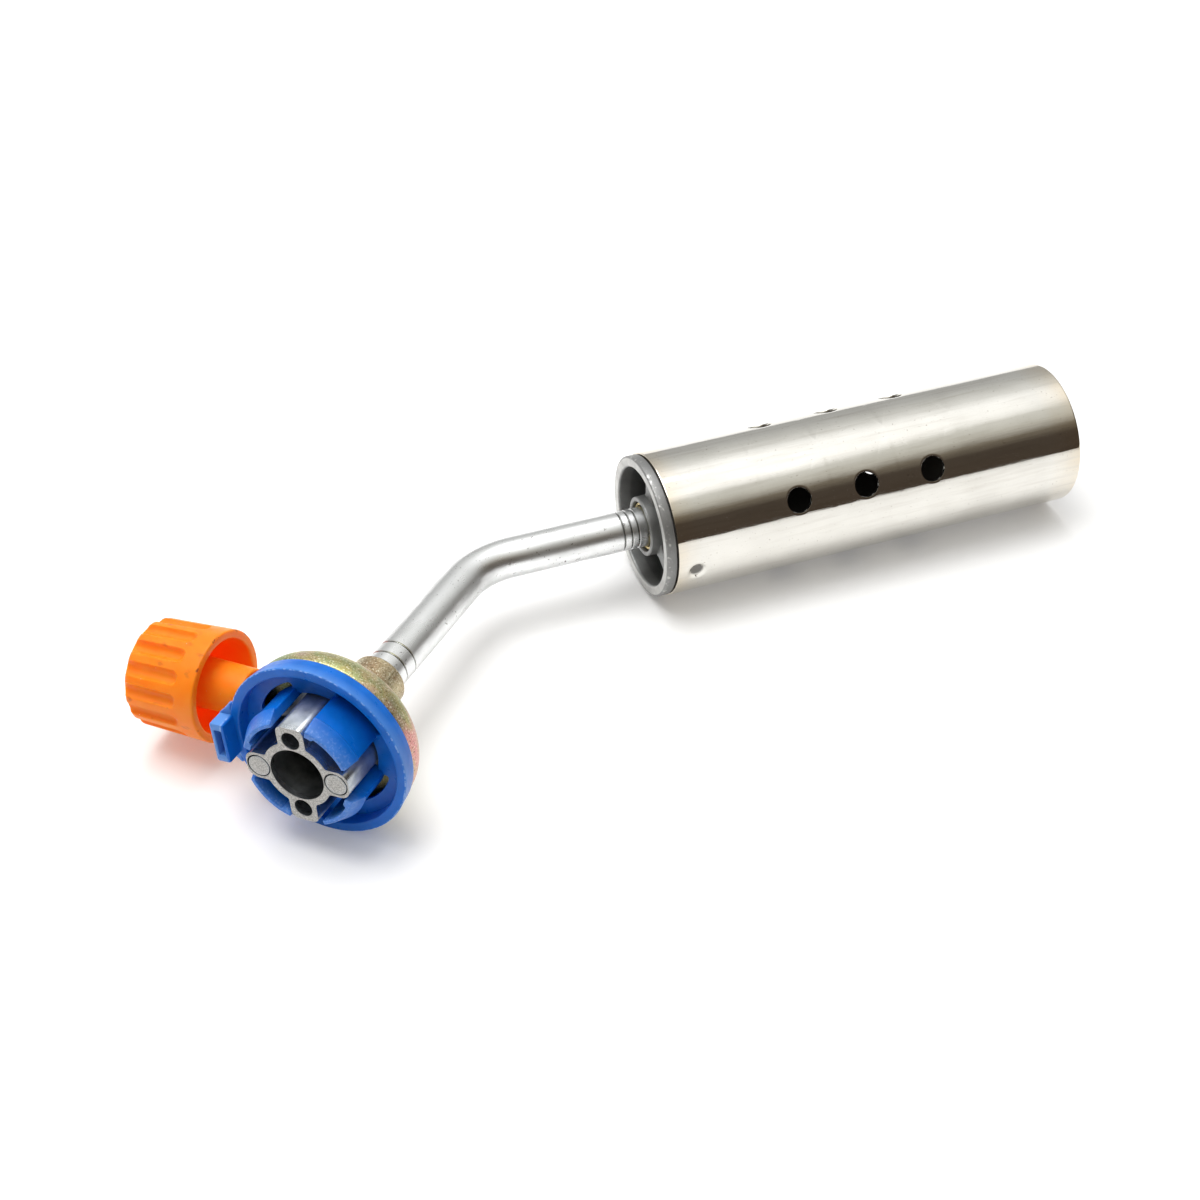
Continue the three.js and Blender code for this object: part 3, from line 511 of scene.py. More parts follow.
# %% Sizes of the sleeve
FACET_EXCESS = 0.05  # the CAD tube has flats; the round one stays this far inside its corners
PANEL_STEPS = 10  # grid rows from a panel's edge to its hole
VENT_RADIUS = 2.65
VENT_FIRST = 27.0
VENT_PITCH = 15.1
VENTS_PER_ROW = 3
VENT_ROWS = 4
VENT_PHASE = math.radians(62.5)
SLEEVE_WALL = 0.8
DIMPLE_COUNT = 2
DIMPLE_PHASE = math.radians(13)
DIMPLE_FROM_EDGE = 4.1
DIMPLE_RADIUS = 2.0
DIMPLE_DEPTH = 0.55
sleeve_rear, sleeve_front, sleeve_corner = burner.reach("burner_sleeve")
sleeve_radius = sleeve_corner - FACET_EXCESS
print("sleeve radius and length:", round(sleeve_radius, 2), round(sleeve_front - sleeve_rear, 2), "mm")


# %% A panel with a hole, and the way to roll it up
def pierced_panel(walk, panel, hole, corner, wall, edge=0.12, steps=PANEL_STEPS):
    """Rows of across, along and depth. Each outside row is a mix of the panel's edge and the hole's
    outline, by a share that falls from 1 to 0. The lip takes the rows through the wall, and the
    inside repeats them backwards."""

    def outline(grow):
        """The hole's rounded outline, larger by the given distance."""
        return pulled_in(walk, (hole[0] + grow, hole[1] + grow), corner + grow)

    share = np.linspace(1, 0, steps)[:, None, None] ** 1.4
    face = walk * np.asarray(panel) * share + outline(edge) * (1 - share)
    lip = np.stack([outline(0.3 * edge), outline(0), outline(0), outline(0.3 * edge)])
    depths = np.array([0.3 * edge, edge, wall - edge, wall - 0.3 * edge])
    flat = np.concatenate([face, lip, face[::-1]])
    depth = np.concatenate([np.zeros(steps), depths, np.full(steps, wall)])
    return np.dstack([flat, np.broadcast_to(depth[:, None], flat.shape[:2])])


def rolled(flat, radius, phase, height):
    """Distance across becomes an angle at the outer radius, depth goes in, along becomes height."""
    return polar(radius - flat[..., 2], phase + flat[..., 0] / radius, height + flat[..., 1])


# %% Dimples, the plain stretches and the whole sleeve
PANEL_ROWS = 32  # grid steps along one side of a vent panel
FRONT_ROWS = 24
REAR_ROWS = 56  # more of them, for the dimples


def dimpled(angle, height, radius):
    """The radius less each dimple's depth, which falls to nothing by a soft step of the way from
    its centre, measured over the tube's surface."""
    for k in range(DIMPLE_COUNT):
        turn = (angle - DIMPLE_PHASE - k * 2 * np.pi / DIMPLE_COUNT + np.pi) % (2 * np.pi) - np.pi
        away = np.hypot(turn * sleeve_radius, height - sleeve_rear - DIMPLE_FROM_EDGE)
        radius = radius - DIMPLE_DEPTH * (1 - soft_step(away, 0.6 * DIMPLE_RADIUS, DIMPLE_RADIUS))
    return radius


def plain_stretch(joint, end, columns, phase, rows):
    """Rows along the outside from a joint to the tube's end, round its edge, and back inside.
    The way left to the end shrinks by the power 1.5, so rows are close where the dimples are."""
    edge = 0.15 * np.sign(end - joint)
    heights = end - edge - (end - edge - joint) * np.linspace(1, 0, rows) ** 1.5
    inner = sleeve_radius - SLEEVE_WALL
    turn_out = [(sleeve_radius - 0.04, end - 0.3 * edge), (sleeve_radius - 0.16, end)]
    turn_in = [(inner + 0.16, end), (inner + 0.04, end - 0.3 * edge)]
    height = np.concatenate([heights, [z for _, z in turn_out + turn_in], heights[::-1]])
    radius = np.concatenate([np.full(rows, sleeve_radius), [r for r, _ in turn_out + turn_in],
                             np.full(rows, inner)])
    angle = once_round(columns, phase)
    return polar(dimpled(angle, height[:, None], radius[:, None]), angle, height[:, None])


def sleeve_body():
    """Vent panels in rows and columns, between two plain stretches that carry the tube's ends."""
    per_panel = FINE // VENT_ROWS
    walk = square_walk(per_panel, PANEL_ROWS)
    panel = (np.pi * sleeve_radius / VENT_ROWS, VENT_PITCH / 2)
    flat = pierced_panel(walk, panel, (VENT_RADIUS, VENT_RADIUS), VENT_RADIUS, SLEEVE_WALL)
    skins = []
    for row in range(VENT_ROWS):
        for number in range(VENTS_PER_ROW):
            height = sleeve_rear + VENT_FIRST + number * VENT_PITCH
            phase = VENT_PHASE + row * 2 * np.pi / VENT_ROWS
            skins.append(skin(rolled(flat, sleeve_radius, phase, height)))
    first = sleeve_rear + VENT_FIRST - VENT_PITCH / 2
    last = first + VENTS_PER_ROW * VENT_PITCH
    start = VENT_PHASE - np.pi / VENT_ROWS
    skins.append(skin(plain_stretch(last, sleeve_front, FINE, start, FRONT_ROWS)))
    rear_points, rear_faces = skin(plain_stretch(first, sleeve_rear, FINE, start, REAR_ROWS))
    skins.append((rear_points, rear_faces[:, ::-1]))
    return welded(*skins)


# %% [markdown]
# The sleeve is polished stainless steel. It mirrors the room, so most of its look comes from the
# light, and a colour painted on would slide as soon as the torch turned. The finish only adds what
# polish leaves: faint lines along the tube, uneven gloss, small dark specks, and the straw tint that
# heat gives to both ends. The inside isn't polished, and the flame has left it dull and dark.

# %% Polished steel
def polished_steel():
    """Steel, plus straw where heat times a noise is high, plus specks, and dark inside the wall."""
    finish = Finish("polished_steel", metallic=1.0, roughness=0.1, Specular_IOR_Level=0.6)
    brushing = finish.noise(0.22, detail=4, stretch=(1, 1, 60))
    cloud = finish.noise(9, detail=3)
    height = finish.axis("Z")
    from_mouth = finish.level(height, sleeve_front - 7, sleeve_front)
    from_rear = finish.level(height, sleeve_rear + 5, sleeve_rear)
    heat = finish.larger(from_mouth, from_rear)
    heat = finish.times(heat, finish.level(finish.noise(6, shift=3), 0.3, 0.7, 0.35, 1.0))
    steel = finish.mix(finish.level(cloud, 0.35, 0.7), (0.78, 0.765, 0.72, 1), (0.72, 0.705, 0.66, 1))
    straw = finish.mix(finish.times(heat, 0.45), steel, (0.74, 0.58, 0.36, 1))
    specks = finish.level(finish.noise(0.4, detail=3, shift=9), 0.68, 0.76)
    streaks = finish.level(finish.noise(1.1, detail=5, stretch=(1, 1, 14), shift=17), 0.5, 0.75)
    straw = finish.mix(finish.times(streaks, 0.5), straw, (0.60, 0.57, 0.52, 1))
    outside = finish.mix(specks, straw, (0.30, 0.25, 0.20, 1))
    inside = finish.level(finish.radius(), sleeve_radius - 0.3, sleeve_radius - 0.6)
    finish.set("Base Color", finish.mix(inside, outside, (0.055, 0.052, 0.048, 1)))
    gloss = finish.level(brushing, 0.3, 0.7, 0.02, 0.09)
    gloss = finish.plus(gloss, finish.level(cloud, 0.3, 0.8, 0.0, 0.05))
    finish.set("Roughness", finish.larger(gloss, finish.times(inside, 0.4)))
    finish.bump(brushing, 0.006, 0.6)
    finish.bump(finish.noise(4, detail=3, stretch=(1, 1, 2.5)), 0.06, 0.5)
    return finish.material


make_piece("burner_tube", "burner_sleeve", [sleeve_body()], burner.place, polished_steel())

# %% [markdown]
# ## The air ring
#
# A die casting plugs into the rear of the sleeve. Its flange shows as a grey ring behind the sleeve,
# and three spokes carry a hub for the gas tube, with air passing between them. Cubes joined to rings
# by booleans would meet them at hard corners, which a casting never has. So flange and hub are spun
# profiles with cast-in rounding, and a spoke is a brick that widens at both ends like a fillet.

# %% Sizes of the ring
RING_OPENING = 12.4
RING_FLANGE = 2.1
RING_SPIGOT = 8.0
HUB_INNER = 5.25
HUB_OUTER = 6.2
HUB_LENGTH = 11.0
SPOKE_COUNT = 3
SPOKE_WIDTH = 3.0
SPOKE_RECESS = 1.8
SPOKE_LENGTH = 4.5
SPOKE_FLARE = 0.7
ring_rear, _, ring_radius = burner.reach("burner_ring")
spigot_radius = sleeve_radius - SLEEVE_WALL - 0.3
print("ring from", round(ring_rear, 2), "mm, with radius", round(ring_radius, 2), "mm")


# %% Flange, hub and spokes
def spoke_body(angle):
    """A brick from hub to ring; its width grows with the sixth power of the way to either end."""
    inner, outer = HUB_OUTER - 0.3, RING_OPENING + 0.3
    half = (0.5 * (outer - inner), 0.5 * SPOKE_WIDTH, 0.5 * SPOKE_LENGTH)
    points, faces = brick(half, 0.35, (24, 4, 4))
    flare = 1 + SPOKE_FLARE * np.abs(points[:, 0] / half[0]) ** 6
    x = points[:, 0] + (inner + outer) / 2
    z = points[:, 2] + ring_rear + SPOKE_RECESS + half[2]
    return turned((np.stack([x, points[:, 1] * flare, z], axis=1), faces), angle)


def ring_bodies():
    """A flange with a spigot, spun; a hub, spun; and the same spoke at even angles."""
    flange = rounded([
        (RING_OPENING, ring_rear), (ring_radius, ring_rear), (ring_radius, ring_rear + RING_FLANGE),
        (spigot_radius, ring_rear + RING_FLANGE), (spigot_radius, sleeve_rear + RING_SPIGOT),
        (RING_OPENING + 0.2, sleeve_rear + RING_SPIGOT),
    ], [0.6, 0.45, 0.15, 0.1, 0.3, 0.3])
    hub = rounded([
        (HUB_INNER, ring_rear), (HUB_OUTER, ring_rear),
        (HUB_OUTER + 0.15, ring_rear + HUB_LENGTH), (HUB_INNER, ring_rear + HUB_LENGTH),
    ], 0.35)
    spokes = [spoke_body(angle) for angle in once_round(SPOKE_COUNT, math.pi / 2)]
    return [spun(flange, FINE), spun(hub)] + spokes


# %% [markdown]
# The ring is bare die-cast zinc, a duller grey than the sleeve. Inwards of the flange, where hub
# and spokes lie in shade, it is darkened with painted shade, its outer band is nearly black, and
# its rear edge is rubbed bright in spots.

# %% Cast grey
def cast_grey():
    """Die-cast zinc: grey with fine grain and cloudy gloss, painted shade inside, bright worn edge
    spots.
    """
    finish = Finish("cast_ring", metallic=0.7, roughness=0.45)
    light, dark = (0.66, 0.66, 0.64, 1), (0.48, 0.48, 0.47, 1)
    grain = finish.noise(0.28, detail=4)
    cloud = finish.noise(3.5, detail=3, shift=5)
    grey = finish.mix(finish.level(cloud, 0.35, 0.65), light, dark)
    height, radius = finish.axis("Z"), finish.radius()
    # painted shade: the hub, the spokes and what lies deeper than the flange are mixed towards
    # near-black
    painted_shade_inward = finish.larger(finish.level(height, ring_rear + 0.5, ring_rear + 3),
                           finish.level(radius, RING_OPENING + 0.4, RING_OPENING + 0.1, 0.0, 0.8))
    grey = finish.mix(finish.times(painted_shade_inward, 0.8), grey, (0.10, 0.104, 0.108, 1))
    on_band = finish.times(finish.level(radius, ring_radius - 0.5, ring_radius - 0.3),
                           finish.level(height, ring_rear + 2.2, ring_rear + 2.0))
    grey = finish.mix(finish.times(on_band, 0.8), grey, (0.19, 0.19, 0.19, 1))
    nicks = finish.level(finish.noise(0.9, detail=6, shift=11), 0.56, 0.70, 0.0, 0.7)
    edge = finish.times(finish.level(radius, ring_radius - 0.3, ring_radius - 0.15),
                        finish.level(height, ring_rear + 1.1, ring_rear + 0.9))
    worn = finish.times(nicks, edge)
    finish.set("Base Color", finish.mix(worn, grey, (0.75, 0.75, 0.73, 1)))
    finish.set("Roughness", finish.level(grain, 0.3, 0.7, 0.34, 0.58))
    finish.bump(grain, 0.03, 0.6)
    finish.bump(cloud, 0.12, 0.35)
    return finish.material


make_piece("air_ring", "burner_ring", ring_bodies(), burner.place, cast_grey())

# %% [markdown]
# ## The jet
#
# Inside the hub sits a brass holder that the gas tube is pushed into, and in front of it the jet: a
# small hexagonal head with a bored nose. A six-sided cylinder with a bevel would have flat chamfers.
# A real nut is turned first and then milled, so here too a spun profile is held inside the flats of
# a hexagon, and the curved chamfers come by themselves.

# %% Brass pieces on the burner's axis
HOLDER_SOCKET = 5.7
HOLDER_INNER = 4.4
HOLDER_PASSAGE = 2.4
JET_FLATS = 6.0
JET_HEAD = 3.0
JET_ORIFICE = 0.3
holder_rear, holder_front, holder_radius = burner.reach("jet_holder")
jet_rear, jet_front, _ = burner.reach("jet_nozzle")


def hexagonal(profile, flats, from_height, to_height, columns=SMOOTH):
    """A spun profile whose radius, between two heights, is at most half the distance across flats
    over the cosine of the angle from the middle of the nearest flat."""
    angle = once_round(columns)
    flat = flats / 2 / np.cos((angle + np.pi / 6) % (np.pi / 3) - np.pi / 6)
    radius, height = profile[:, 0, None], profile[:, 1, None]
    in_head = (height > from_height - 1e-6) & (height < to_height + 1e-6)
    held = np.where(in_head, np.minimum(radius, flat), radius)
    return welded(skin(polar(held, angle, height), wrap_rows=True))


def brass(name="turned_brass", own=True):
    """Turned brass: lines round the axis, and a green-brown film in patches."""
    finish = Finish(name, metallic=1.0, roughness=0.3, own=own)
    film = finish.level(finish.noise(1.6, detail=4), 0.4, 0.62)
    clean = (0.62, 0.47, 0.20, 1)
    finish.set("Base Color", finish.mix(film, clean, (0.24, 0.21, 0.09, 1)))
    finish.set("Roughness", finish.level(film, 0, 1, 0.24, 0.5))
    finish.bump(finish.noise(0.25, detail=3, stretch=(30, 30, 1) if own else (1, 1, 1)), 0.01, 0.5)
    return finish.material


def holder_body():
    """A profile spun: a wide socket for the tube at the rear, a narrow passage in front."""
    return spun(rounded([
        (HOLDER_INNER, holder_rear), (holder_radius, holder_rear), (holder_radius, holder_front),
        (HOLDER_PASSAGE, holder_front), (HOLDER_PASSAGE, holder_rear + HOLDER_SOCKET),
        (HOLDER_INNER, holder_rear + HOLDER_SOCKET),
    ], 0.15))


def jet_body():
    """A bored shank, a head whose corners reach the flats over root three, and a short nose."""
    head = jet_front - JET_HEAD
    corner = JET_FLATS / math.sqrt(3)
    shank = HOLDER_PASSAGE - 0.3
    profile = rounded([
        (JET_ORIFICE, jet_rear), (shank, jet_rear), (shank, head), (0.92 * corner, head),
        (corner, head + 0.3), (corner, jet_front - 1.0), (0.86 * corner, jet_front - 0.7),
        (1.5, jet_front - 0.7), (1.1, jet_front), (JET_ORIFICE, jet_front),
    ], 0.08)
    return hexagonal(refined(profile, 0.4), JET_FLATS, head, jet_front - 0.7)


brass_finish = brass()
make_piece("jet_socket", "jet_holder", [holder_body()], burner.place, brass_finish)
make_piece("gas_jet", "jet_nozzle", [jet_body()], burner.place, brass_finish)

# %% [markdown]
# ## The gas tube
#
# The tube is straight, bends once through about 45 degrees, and is straight again. A curve object
# with a round bevel would make it, but not the thin turned grooves near both ends. So it is made as
# in the workshop: spun straight, with a radius that dips at the grooves, and bent afterwards along a
# line, an arc and a line. The own coordinates stay those of the straight tube, so the drawing marks
# run round the bend with the metal.

# %% Sizes of the tube
TUBE_RADIUS = 4.1
TUBE_BORE = 3.1
BEND_RADIUS = 17.2
GROOVE_DEPTH = 0.25
GROOVE_HALF_WIDTH = 0.24
BOSS_GROOVES = (3.3, 6.6)
RING_GROOVES = (1.7, 3.2, 4.8)
bend_angle = math.acos(-to_cartridge @ to_burner)
bend_tangent = BEND_RADIUS * math.tan(bend_angle / 2)
boss_face = valve.reach("valve_body")[0]
tube_start = valve.reach("gas_tube")[1]
tube_end = burner.reach("gas_tube")[1]
leg_before = tube_start - bend_tangent
arc_length = BEND_RADIUS * bend_angle
print("bend of", round(math.degrees(bend_angle), 1), "degrees, arc of", round(arc_length, 2), "mm")


# %% The bend
def centre_line(travelled):
    """Way from the valve's end to a place in the bend's plane: a line, an arc, and a line."""
    before = np.minimum(travelled, leg_before)
    left = bend_angle - np.clip((travelled - leg_before) / BEND_RADIUS, 0, bend_angle)
    after = np.maximum(travelled - leg_before - arc_length, 0)
    rest = leg_before - before
    x = bend_tangent - BEND_RADIUS * np.sin(left) - rest * math.cos(bend_angle) + after
    y = -BEND_RADIUS * (1 - np.cos(left)) - rest * math.sin(bend_angle)
    return x, y, left


def bent(points):
    """Own coordinates of the straight tube to the model: along z goes the centre line."""
    x, y, left = centre_line(points[:, 2])
    side_x, side_y = -np.sin(left), np.cos(left)
    along = (x + points[:, 0] * side_x)[:, None] * to_burner
    across = (y + points[:, 0] * side_y)[:, None] * across_burner
    return bend_corner + MM * (along + across + points[:, 1, None] * out_of_bend)


# %% Grooves and the straight tube
ring_face = leg_before + arc_length + ring_rear - bend_tangent
grooves = [tube_start - boss_face + step for step in BOSS_GROOVES]
grooves += [ring_face - step for step in RING_GROOVES]


def tube_body():
    """The straight tube: radius less a soft dip at each groove, with rows close together there."""
    length = leg_before + arc_length + tube_end - bend_tangent
    close = [np.linspace(-0.6, 0.6, 15) + groove for groove in grooves]
    travelled = np.unique(np.concatenate([np.linspace(0.15, length - 0.15, 220)] + close))
    dip = sum(1 - soft_step(np.abs(travelled - groove), 0.3 * GROOVE_HALF_WIDTH, GROOVE_HALF_WIDTH)
              for groove in grooves)
    outside = np.stack([TUBE_RADIUS - GROOVE_DEPTH * dip, travelled], axis=1)
    mouth = [(TUBE_RADIUS - 0.15, length), (TUBE_BORE, length), (TUBE_BORE, 0.0),
             (TUBE_RADIUS - 0.15, 0.0)]
    inside = np.concatenate([refined(np.array(mouth[:3]), 0.8), mouth[3:]])
    return spun(np.concatenate([outside, inside]), 96)


def plated_finish():
    """Bright plating: grey smears, dark where a scratch or a pit is, painted shade in each groove,
    lines along it.
    """
    finish = Finish("bright_plating", metallic=1.0, roughness=0.16)
    drawn = finish.noise(0.3, detail=4, stretch=(1, 1, 40))
    smear = finish.noise(4, detail=5, stretch=(1, 1, 2.5), shift=4)
    scratch = finish.level(finish.noise(0.45, detail=3, stretch=(1, 2.5, 2), shift=8), 0.66, 0.74)
    pits = finish.level(finish.noise(0.32, detail=2, shift=15), 0.71, 0.77)
    marks = finish.larger(scratch, pits)
    silver = finish.mix(finish.level(smear, 0.45, 0.7), (0.86, 0.87, 0.87, 1), (0.66, 0.67, 0.67, 1))
    silver = finish.mix(marks, silver, (0.26, 0.25, 0.24, 1))
    # painted shade: near each groove the colour is mixed towards near-black
    for groove in grooves:
        away = finish.arithmetic("ABSOLUTE", finish.arithmetic("SUBTRACT", finish.axis("Z"), groove))
        silver = finish.mix(finish.level(away, 0.22, 0.1, 0.0, 0.85), silver, (0.10, 0.10, 0.09, 1))
    finish.set("Base Color", silver)
    finish.set("Roughness", finish.level(smear, 0.3, 0.75, 0.22, 0.42))
    finish.bump(drawn, 0.004, 0.5)
    finish.bump(smear, 0.05, 0.4)
    return finish.material


make_piece("bent_tube", "gas_tube", [tube_body()], bent, plated_finish())

# %% [markdown]
# ## The valve body
#
# The body is a domed cap with a boss behind it for the tube, a boss at its side for the spindle, and
# a cup in front. All but the side boss is spun from one profile. A boolean would leave a hard seam
# where the side boss meets the dome, and the casting has a fillet there. So the boss is a second body
# that dives into the dome, and its radius grows where it leaves: the dome is an ellipse, so its
# surface is known in each direction round the boss.

# %% Sizes of the valve body
DOME_RADIUS = 17.1
DOME_HEIGHT = 9.4
CUP_SKIRT = 1.1
CUP_WALL = 1.5
CUP_DEPTH = 2.6
SOCKET_RADIUS = 4.4
SOCKET_DEPTH = 8.5
BOSS_RADIUS = 5.4
SIDE_BOSS_RADIUS = 4.6
SIDE_BOSS_OUT = 0.5
SIDE_BOSS_FOOT = 1.3
GLAND_BORE = 3.8
GLAND_DEPTH = 4.6
cup_front = valve.reach("valve_body")[1]
knob_height = hinge_height / MM
dome_front = cup_front - CUP_SKIRT
side_boss_end = DOME_RADIUS + SIDE_BOSS_OUT
print("body from", round(boss_face, 2), "to", round(cup_front, 2), "mm along the valve axis")


# %% The dome and its side boss
def dome_body():
    """Spun: up the tube's socket, along the ellipse r = R sin a, z = front - H cos a, into the cup."""
    start = math.asin(BOSS_RADIUS / DOME_RADIUS)
    angle = np.linspace(start, math.pi / 2, 26)
    ellipse = list(zip(DOME_RADIUS * np.sin(angle), dome_front - DOME_HEIGHT * np.cos(angle)))
    socket = [(0, boss_face + SOCKET_DEPTH), (SOCKET_RADIUS, boss_face + SOCKET_DEPTH),
              (SOCKET_RADIUS, boss_face), (BOSS_RADIUS, boss_face)]
    cup = [(DOME_RADIUS, cup_front), (DOME_RADIUS - CUP_WALL, cup_front),
           (DOME_RADIUS - CUP_WALL, cup_front - CUP_DEPTH), (0, cup_front - CUP_DEPTH)]
    corner = [0, 0.2, 0.3, 0.9] + [1.1] + [0.4] * (len(ellipse) - 1) + [0.4, 0.35, 0.3, 0]
    return spun(rounded(socket + ellipse + cup, corner, closed=False), FINE, closed=False)


def side_boss_body():
    """Circles out along the knob's axis. The foot adds to their radius, by an exponential of the
    way out of the dome, and the way starts where the ellipse says that the dome ends."""
    angle = once_round(SMOOTH)
    behind = dome_front - knob_height + SIDE_BOSS_RADIUS * np.cos(angle)
    level = np.clip(1 - (np.maximum(behind, 0) / DOME_HEIGHT) ** 2, 0, None)
    leaves = np.sqrt(np.maximum(level * DOME_RADIUS**2 - (SIDE_BOSS_RADIUS * np.sin(angle)) ** 2, 1))
    share = np.linspace(0, 1, 30)[:, None]
    out = (leaves - 1.5) * (1 - share) + (side_boss_end - 0.5) * share
    foot = SIDE_BOSS_FOOT * np.exp(-np.maximum(out - leaves + 0.6, 0) / 0.9)
    radius = np.concatenate([0 * angle[None, :], SIDE_BOSS_RADIUS + foot])
    out = np.concatenate([leaves[None, :] - 1.5, out])
    face = [(SIDE_BOSS_RADIUS - 0.12, side_boss_end - 0.12), (SIDE_BOSS_RADIUS - 0.5, side_boss_end),
            (GLAND_BORE + 0.1, side_boss_end), (GLAND_BORE, side_boss_end - 0.1),
            (GLAND_BORE, side_boss_end - GLAND_DEPTH), (0, side_boss_end - GLAND_DEPTH)]
    radius = np.concatenate([radius, [0 * angle + r for r, _ in face]])
    out = np.concatenate([out, [0 * angle + z for _, z in face]])
    out[0] = 8.0
    across, along = radius * np.cos(angle), radius * np.sin(angle)
    rows = np.stack([-out, -along, knob_height - across], axis=-1)
    return welded(skin(rows))


# %% [markdown]
# Yellow passivation is a thin chromate film on zinc. It is olive and gold with rainbow patches where
# its thickness changes, greenish towards the knob and pink on the burner's side, and the casting
# under it shows as a coarse bright speckle. A thin-film setting would give a clean rainbow; the real
# film is patchy, so its colours are laid down by noises and by the place on the body.

# %% Passivated zinc
def passivated():
    """A ramp of film colours over a wide noise, then pink, green and brown patches, then speckle."""
    finish = Finish("yellow_passivation", metallic=0.85, roughness=0.4)
    speckle = finish.noise(0.32, detail=5)
    film = finish.noise(6, detail=3, shift=2)
    colour = finish.ramp(film, (0.30, srgb(166, 162, 128)), (0.44, srgb(182, 172, 112)),
                         (0.52, srgb(168, 174, 122)), (0.60, srgb(196, 180, 130)),
                         (0.72, srgb(200, 172, 150)))
    side = finish.level(finish.axis("X"), 9, 17)
    pink = finish.times(side, finish.level(finish.noise(5, shift=21), 0.38, 0.6))
    colour = finish.mix(pink, colour, srgb(214, 150, 146))
    green = finish.times(finish.level(finish.axis("X"), 2, -8),
                         finish.level(finish.noise(5, shift=31), 0.4, 0.6, 0.2, 0.9))
    colour = finish.mix(green, colour, srgb(128, 152, 104))
    on_boss = finish.level(finish.axis("Z"), boss_face + 7.5, boss_face + 5)
    red_brown = finish.ramp(finish.noise(3, shift=41), (0.35, srgb(172, 142, 116)),
                            (0.6, srgb(196, 180, 150)))
    colour = finish.mix(finish.times(on_boss, 0.8), colour, red_brown)
    pale = finish.level(speckle, 0.56, 0.66)
    colour = finish.mix(finish.times(pale, 0.85), colour, srgb(236, 232, 208))
    dark = finish.level(speckle, 0.43, 0.34)
    colour = finish.mix(finish.times(dark, 0.75), colour, srgb(84, 74, 48))
    finish.set("Base Color", colour)
    finish.set("Roughness", finish.level(speckle, 0.3, 0.7, 0.30, 0.52))
    finish.bump(speckle, 0.09, 0.7)
    return finish.material


make_piece("dome_cap", "valve_body", [dome_body(), side_boss_body()], valve.place, passivated())

# %% [markdown]
# ## The connector plug
#
# The plug is a die casting: a tube with four lobes. Drawing its outline by hand, with a fillet at each
# of eight corners, would take many numbers. Instead it is one closed curve in polar form, the larger
# of the centre circle and four rounded bars, and taking that maximum softly makes the fillets. Each
# lobe's end face holds a hole, so it is meshed like a vent panel, from the hole to the edge of its
# sector. The sectors between lobes are plain, and the walls follow the curve.

# %% Sizes of the plug
BORE_RADIUS = 5.35
PLUG_RADIUS = 6.8
HOLE_LOBE_CENTRE = 7.55
HOLE_LOBE_HALF = 2.8
HOLE_RADIUS = 1.8
HOLE_DEPTH = 9.0
PIN_CENTRE = 7.9
PIN_LOBE_HALF = 2.8
PIN_LOBE_END = 10.5
PIN_BORE = 2.35
PIN_BORE_DEPTH = 1.7
HOLE_LOBE_CORNER = 1.25
PIN_LOBE_CORNER = 2.0
LOBE_SECTOR = 33
PLUG_FLOOR = 2.2
PLUG_FLANGE = 1.2
FLANGE_RADIUS = 9.95
OUTLINE_SHARPNESS = 5.0
plug_rear = valve.reach("connector_plug")[0]
print("plug from", round(plug_rear, 2), "to", round(plug_tip, 2), "mm")


# %% The plug's outline
def bar_reach(angle, half, end, corner_radius):
    """Distance from the axis to a bar's edge: half its width over the sine, or its end over the
    cosine, whichever is less, and near a corner the far root of a line meeting a circle."""
    x, y = np.abs(np.cos(angle)), np.abs(np.sin(angle))
    side = half / np.maximum(y, 1e-6)
    tip = end / np.maximum(x, 1e-6)
    core_x, core_y = end - corner_radius, half - corner_radius
    along = core_x * x + core_y * y
    square = along**2 - (core_x**2 + core_y**2 - corner_radius**2)
    corner = along + np.sqrt(np.maximum(square, 0))
    in_corner = (corner * x > core_x) & (corner * y > core_y) & (square > 0)
    return np.where(in_corner, corner, np.minimum(side, tip))


def plug_outline(angle):
    """The soft maximum of the centre circle and the four lobes: the logarithm of summed powers."""
    reaches = [np.full_like(angle, PLUG_RADIUS)]
    pin_lobe = (PIN_LOBE_HALF, PIN_LOBE_END, PIN_LOBE_CORNER)
    hole_lobe = (HOLE_LOBE_HALF, HOLE_LOBE_CENTRE + HOLE_LOBE_HALF, HOLE_LOBE_CORNER)
    for k, lobe in enumerate([pin_lobe, hole_lobe] * 2):
        turn = (angle - k * np.pi / 2 + np.pi) % (2 * np.pi) - np.pi
        reach = bar_reach(turn, *lobe)
        reaches.append(np.where(np.abs(turn) < np.pi / 3, reach, 0.0))
    powers = sum(np.exp(OUTLINE_SHARPNESS * (reach - PLUG_RADIUS)) for reach in reaches)
    return np.log(powers) / OUTLINE_SHARPNESS + PLUG_RADIUS


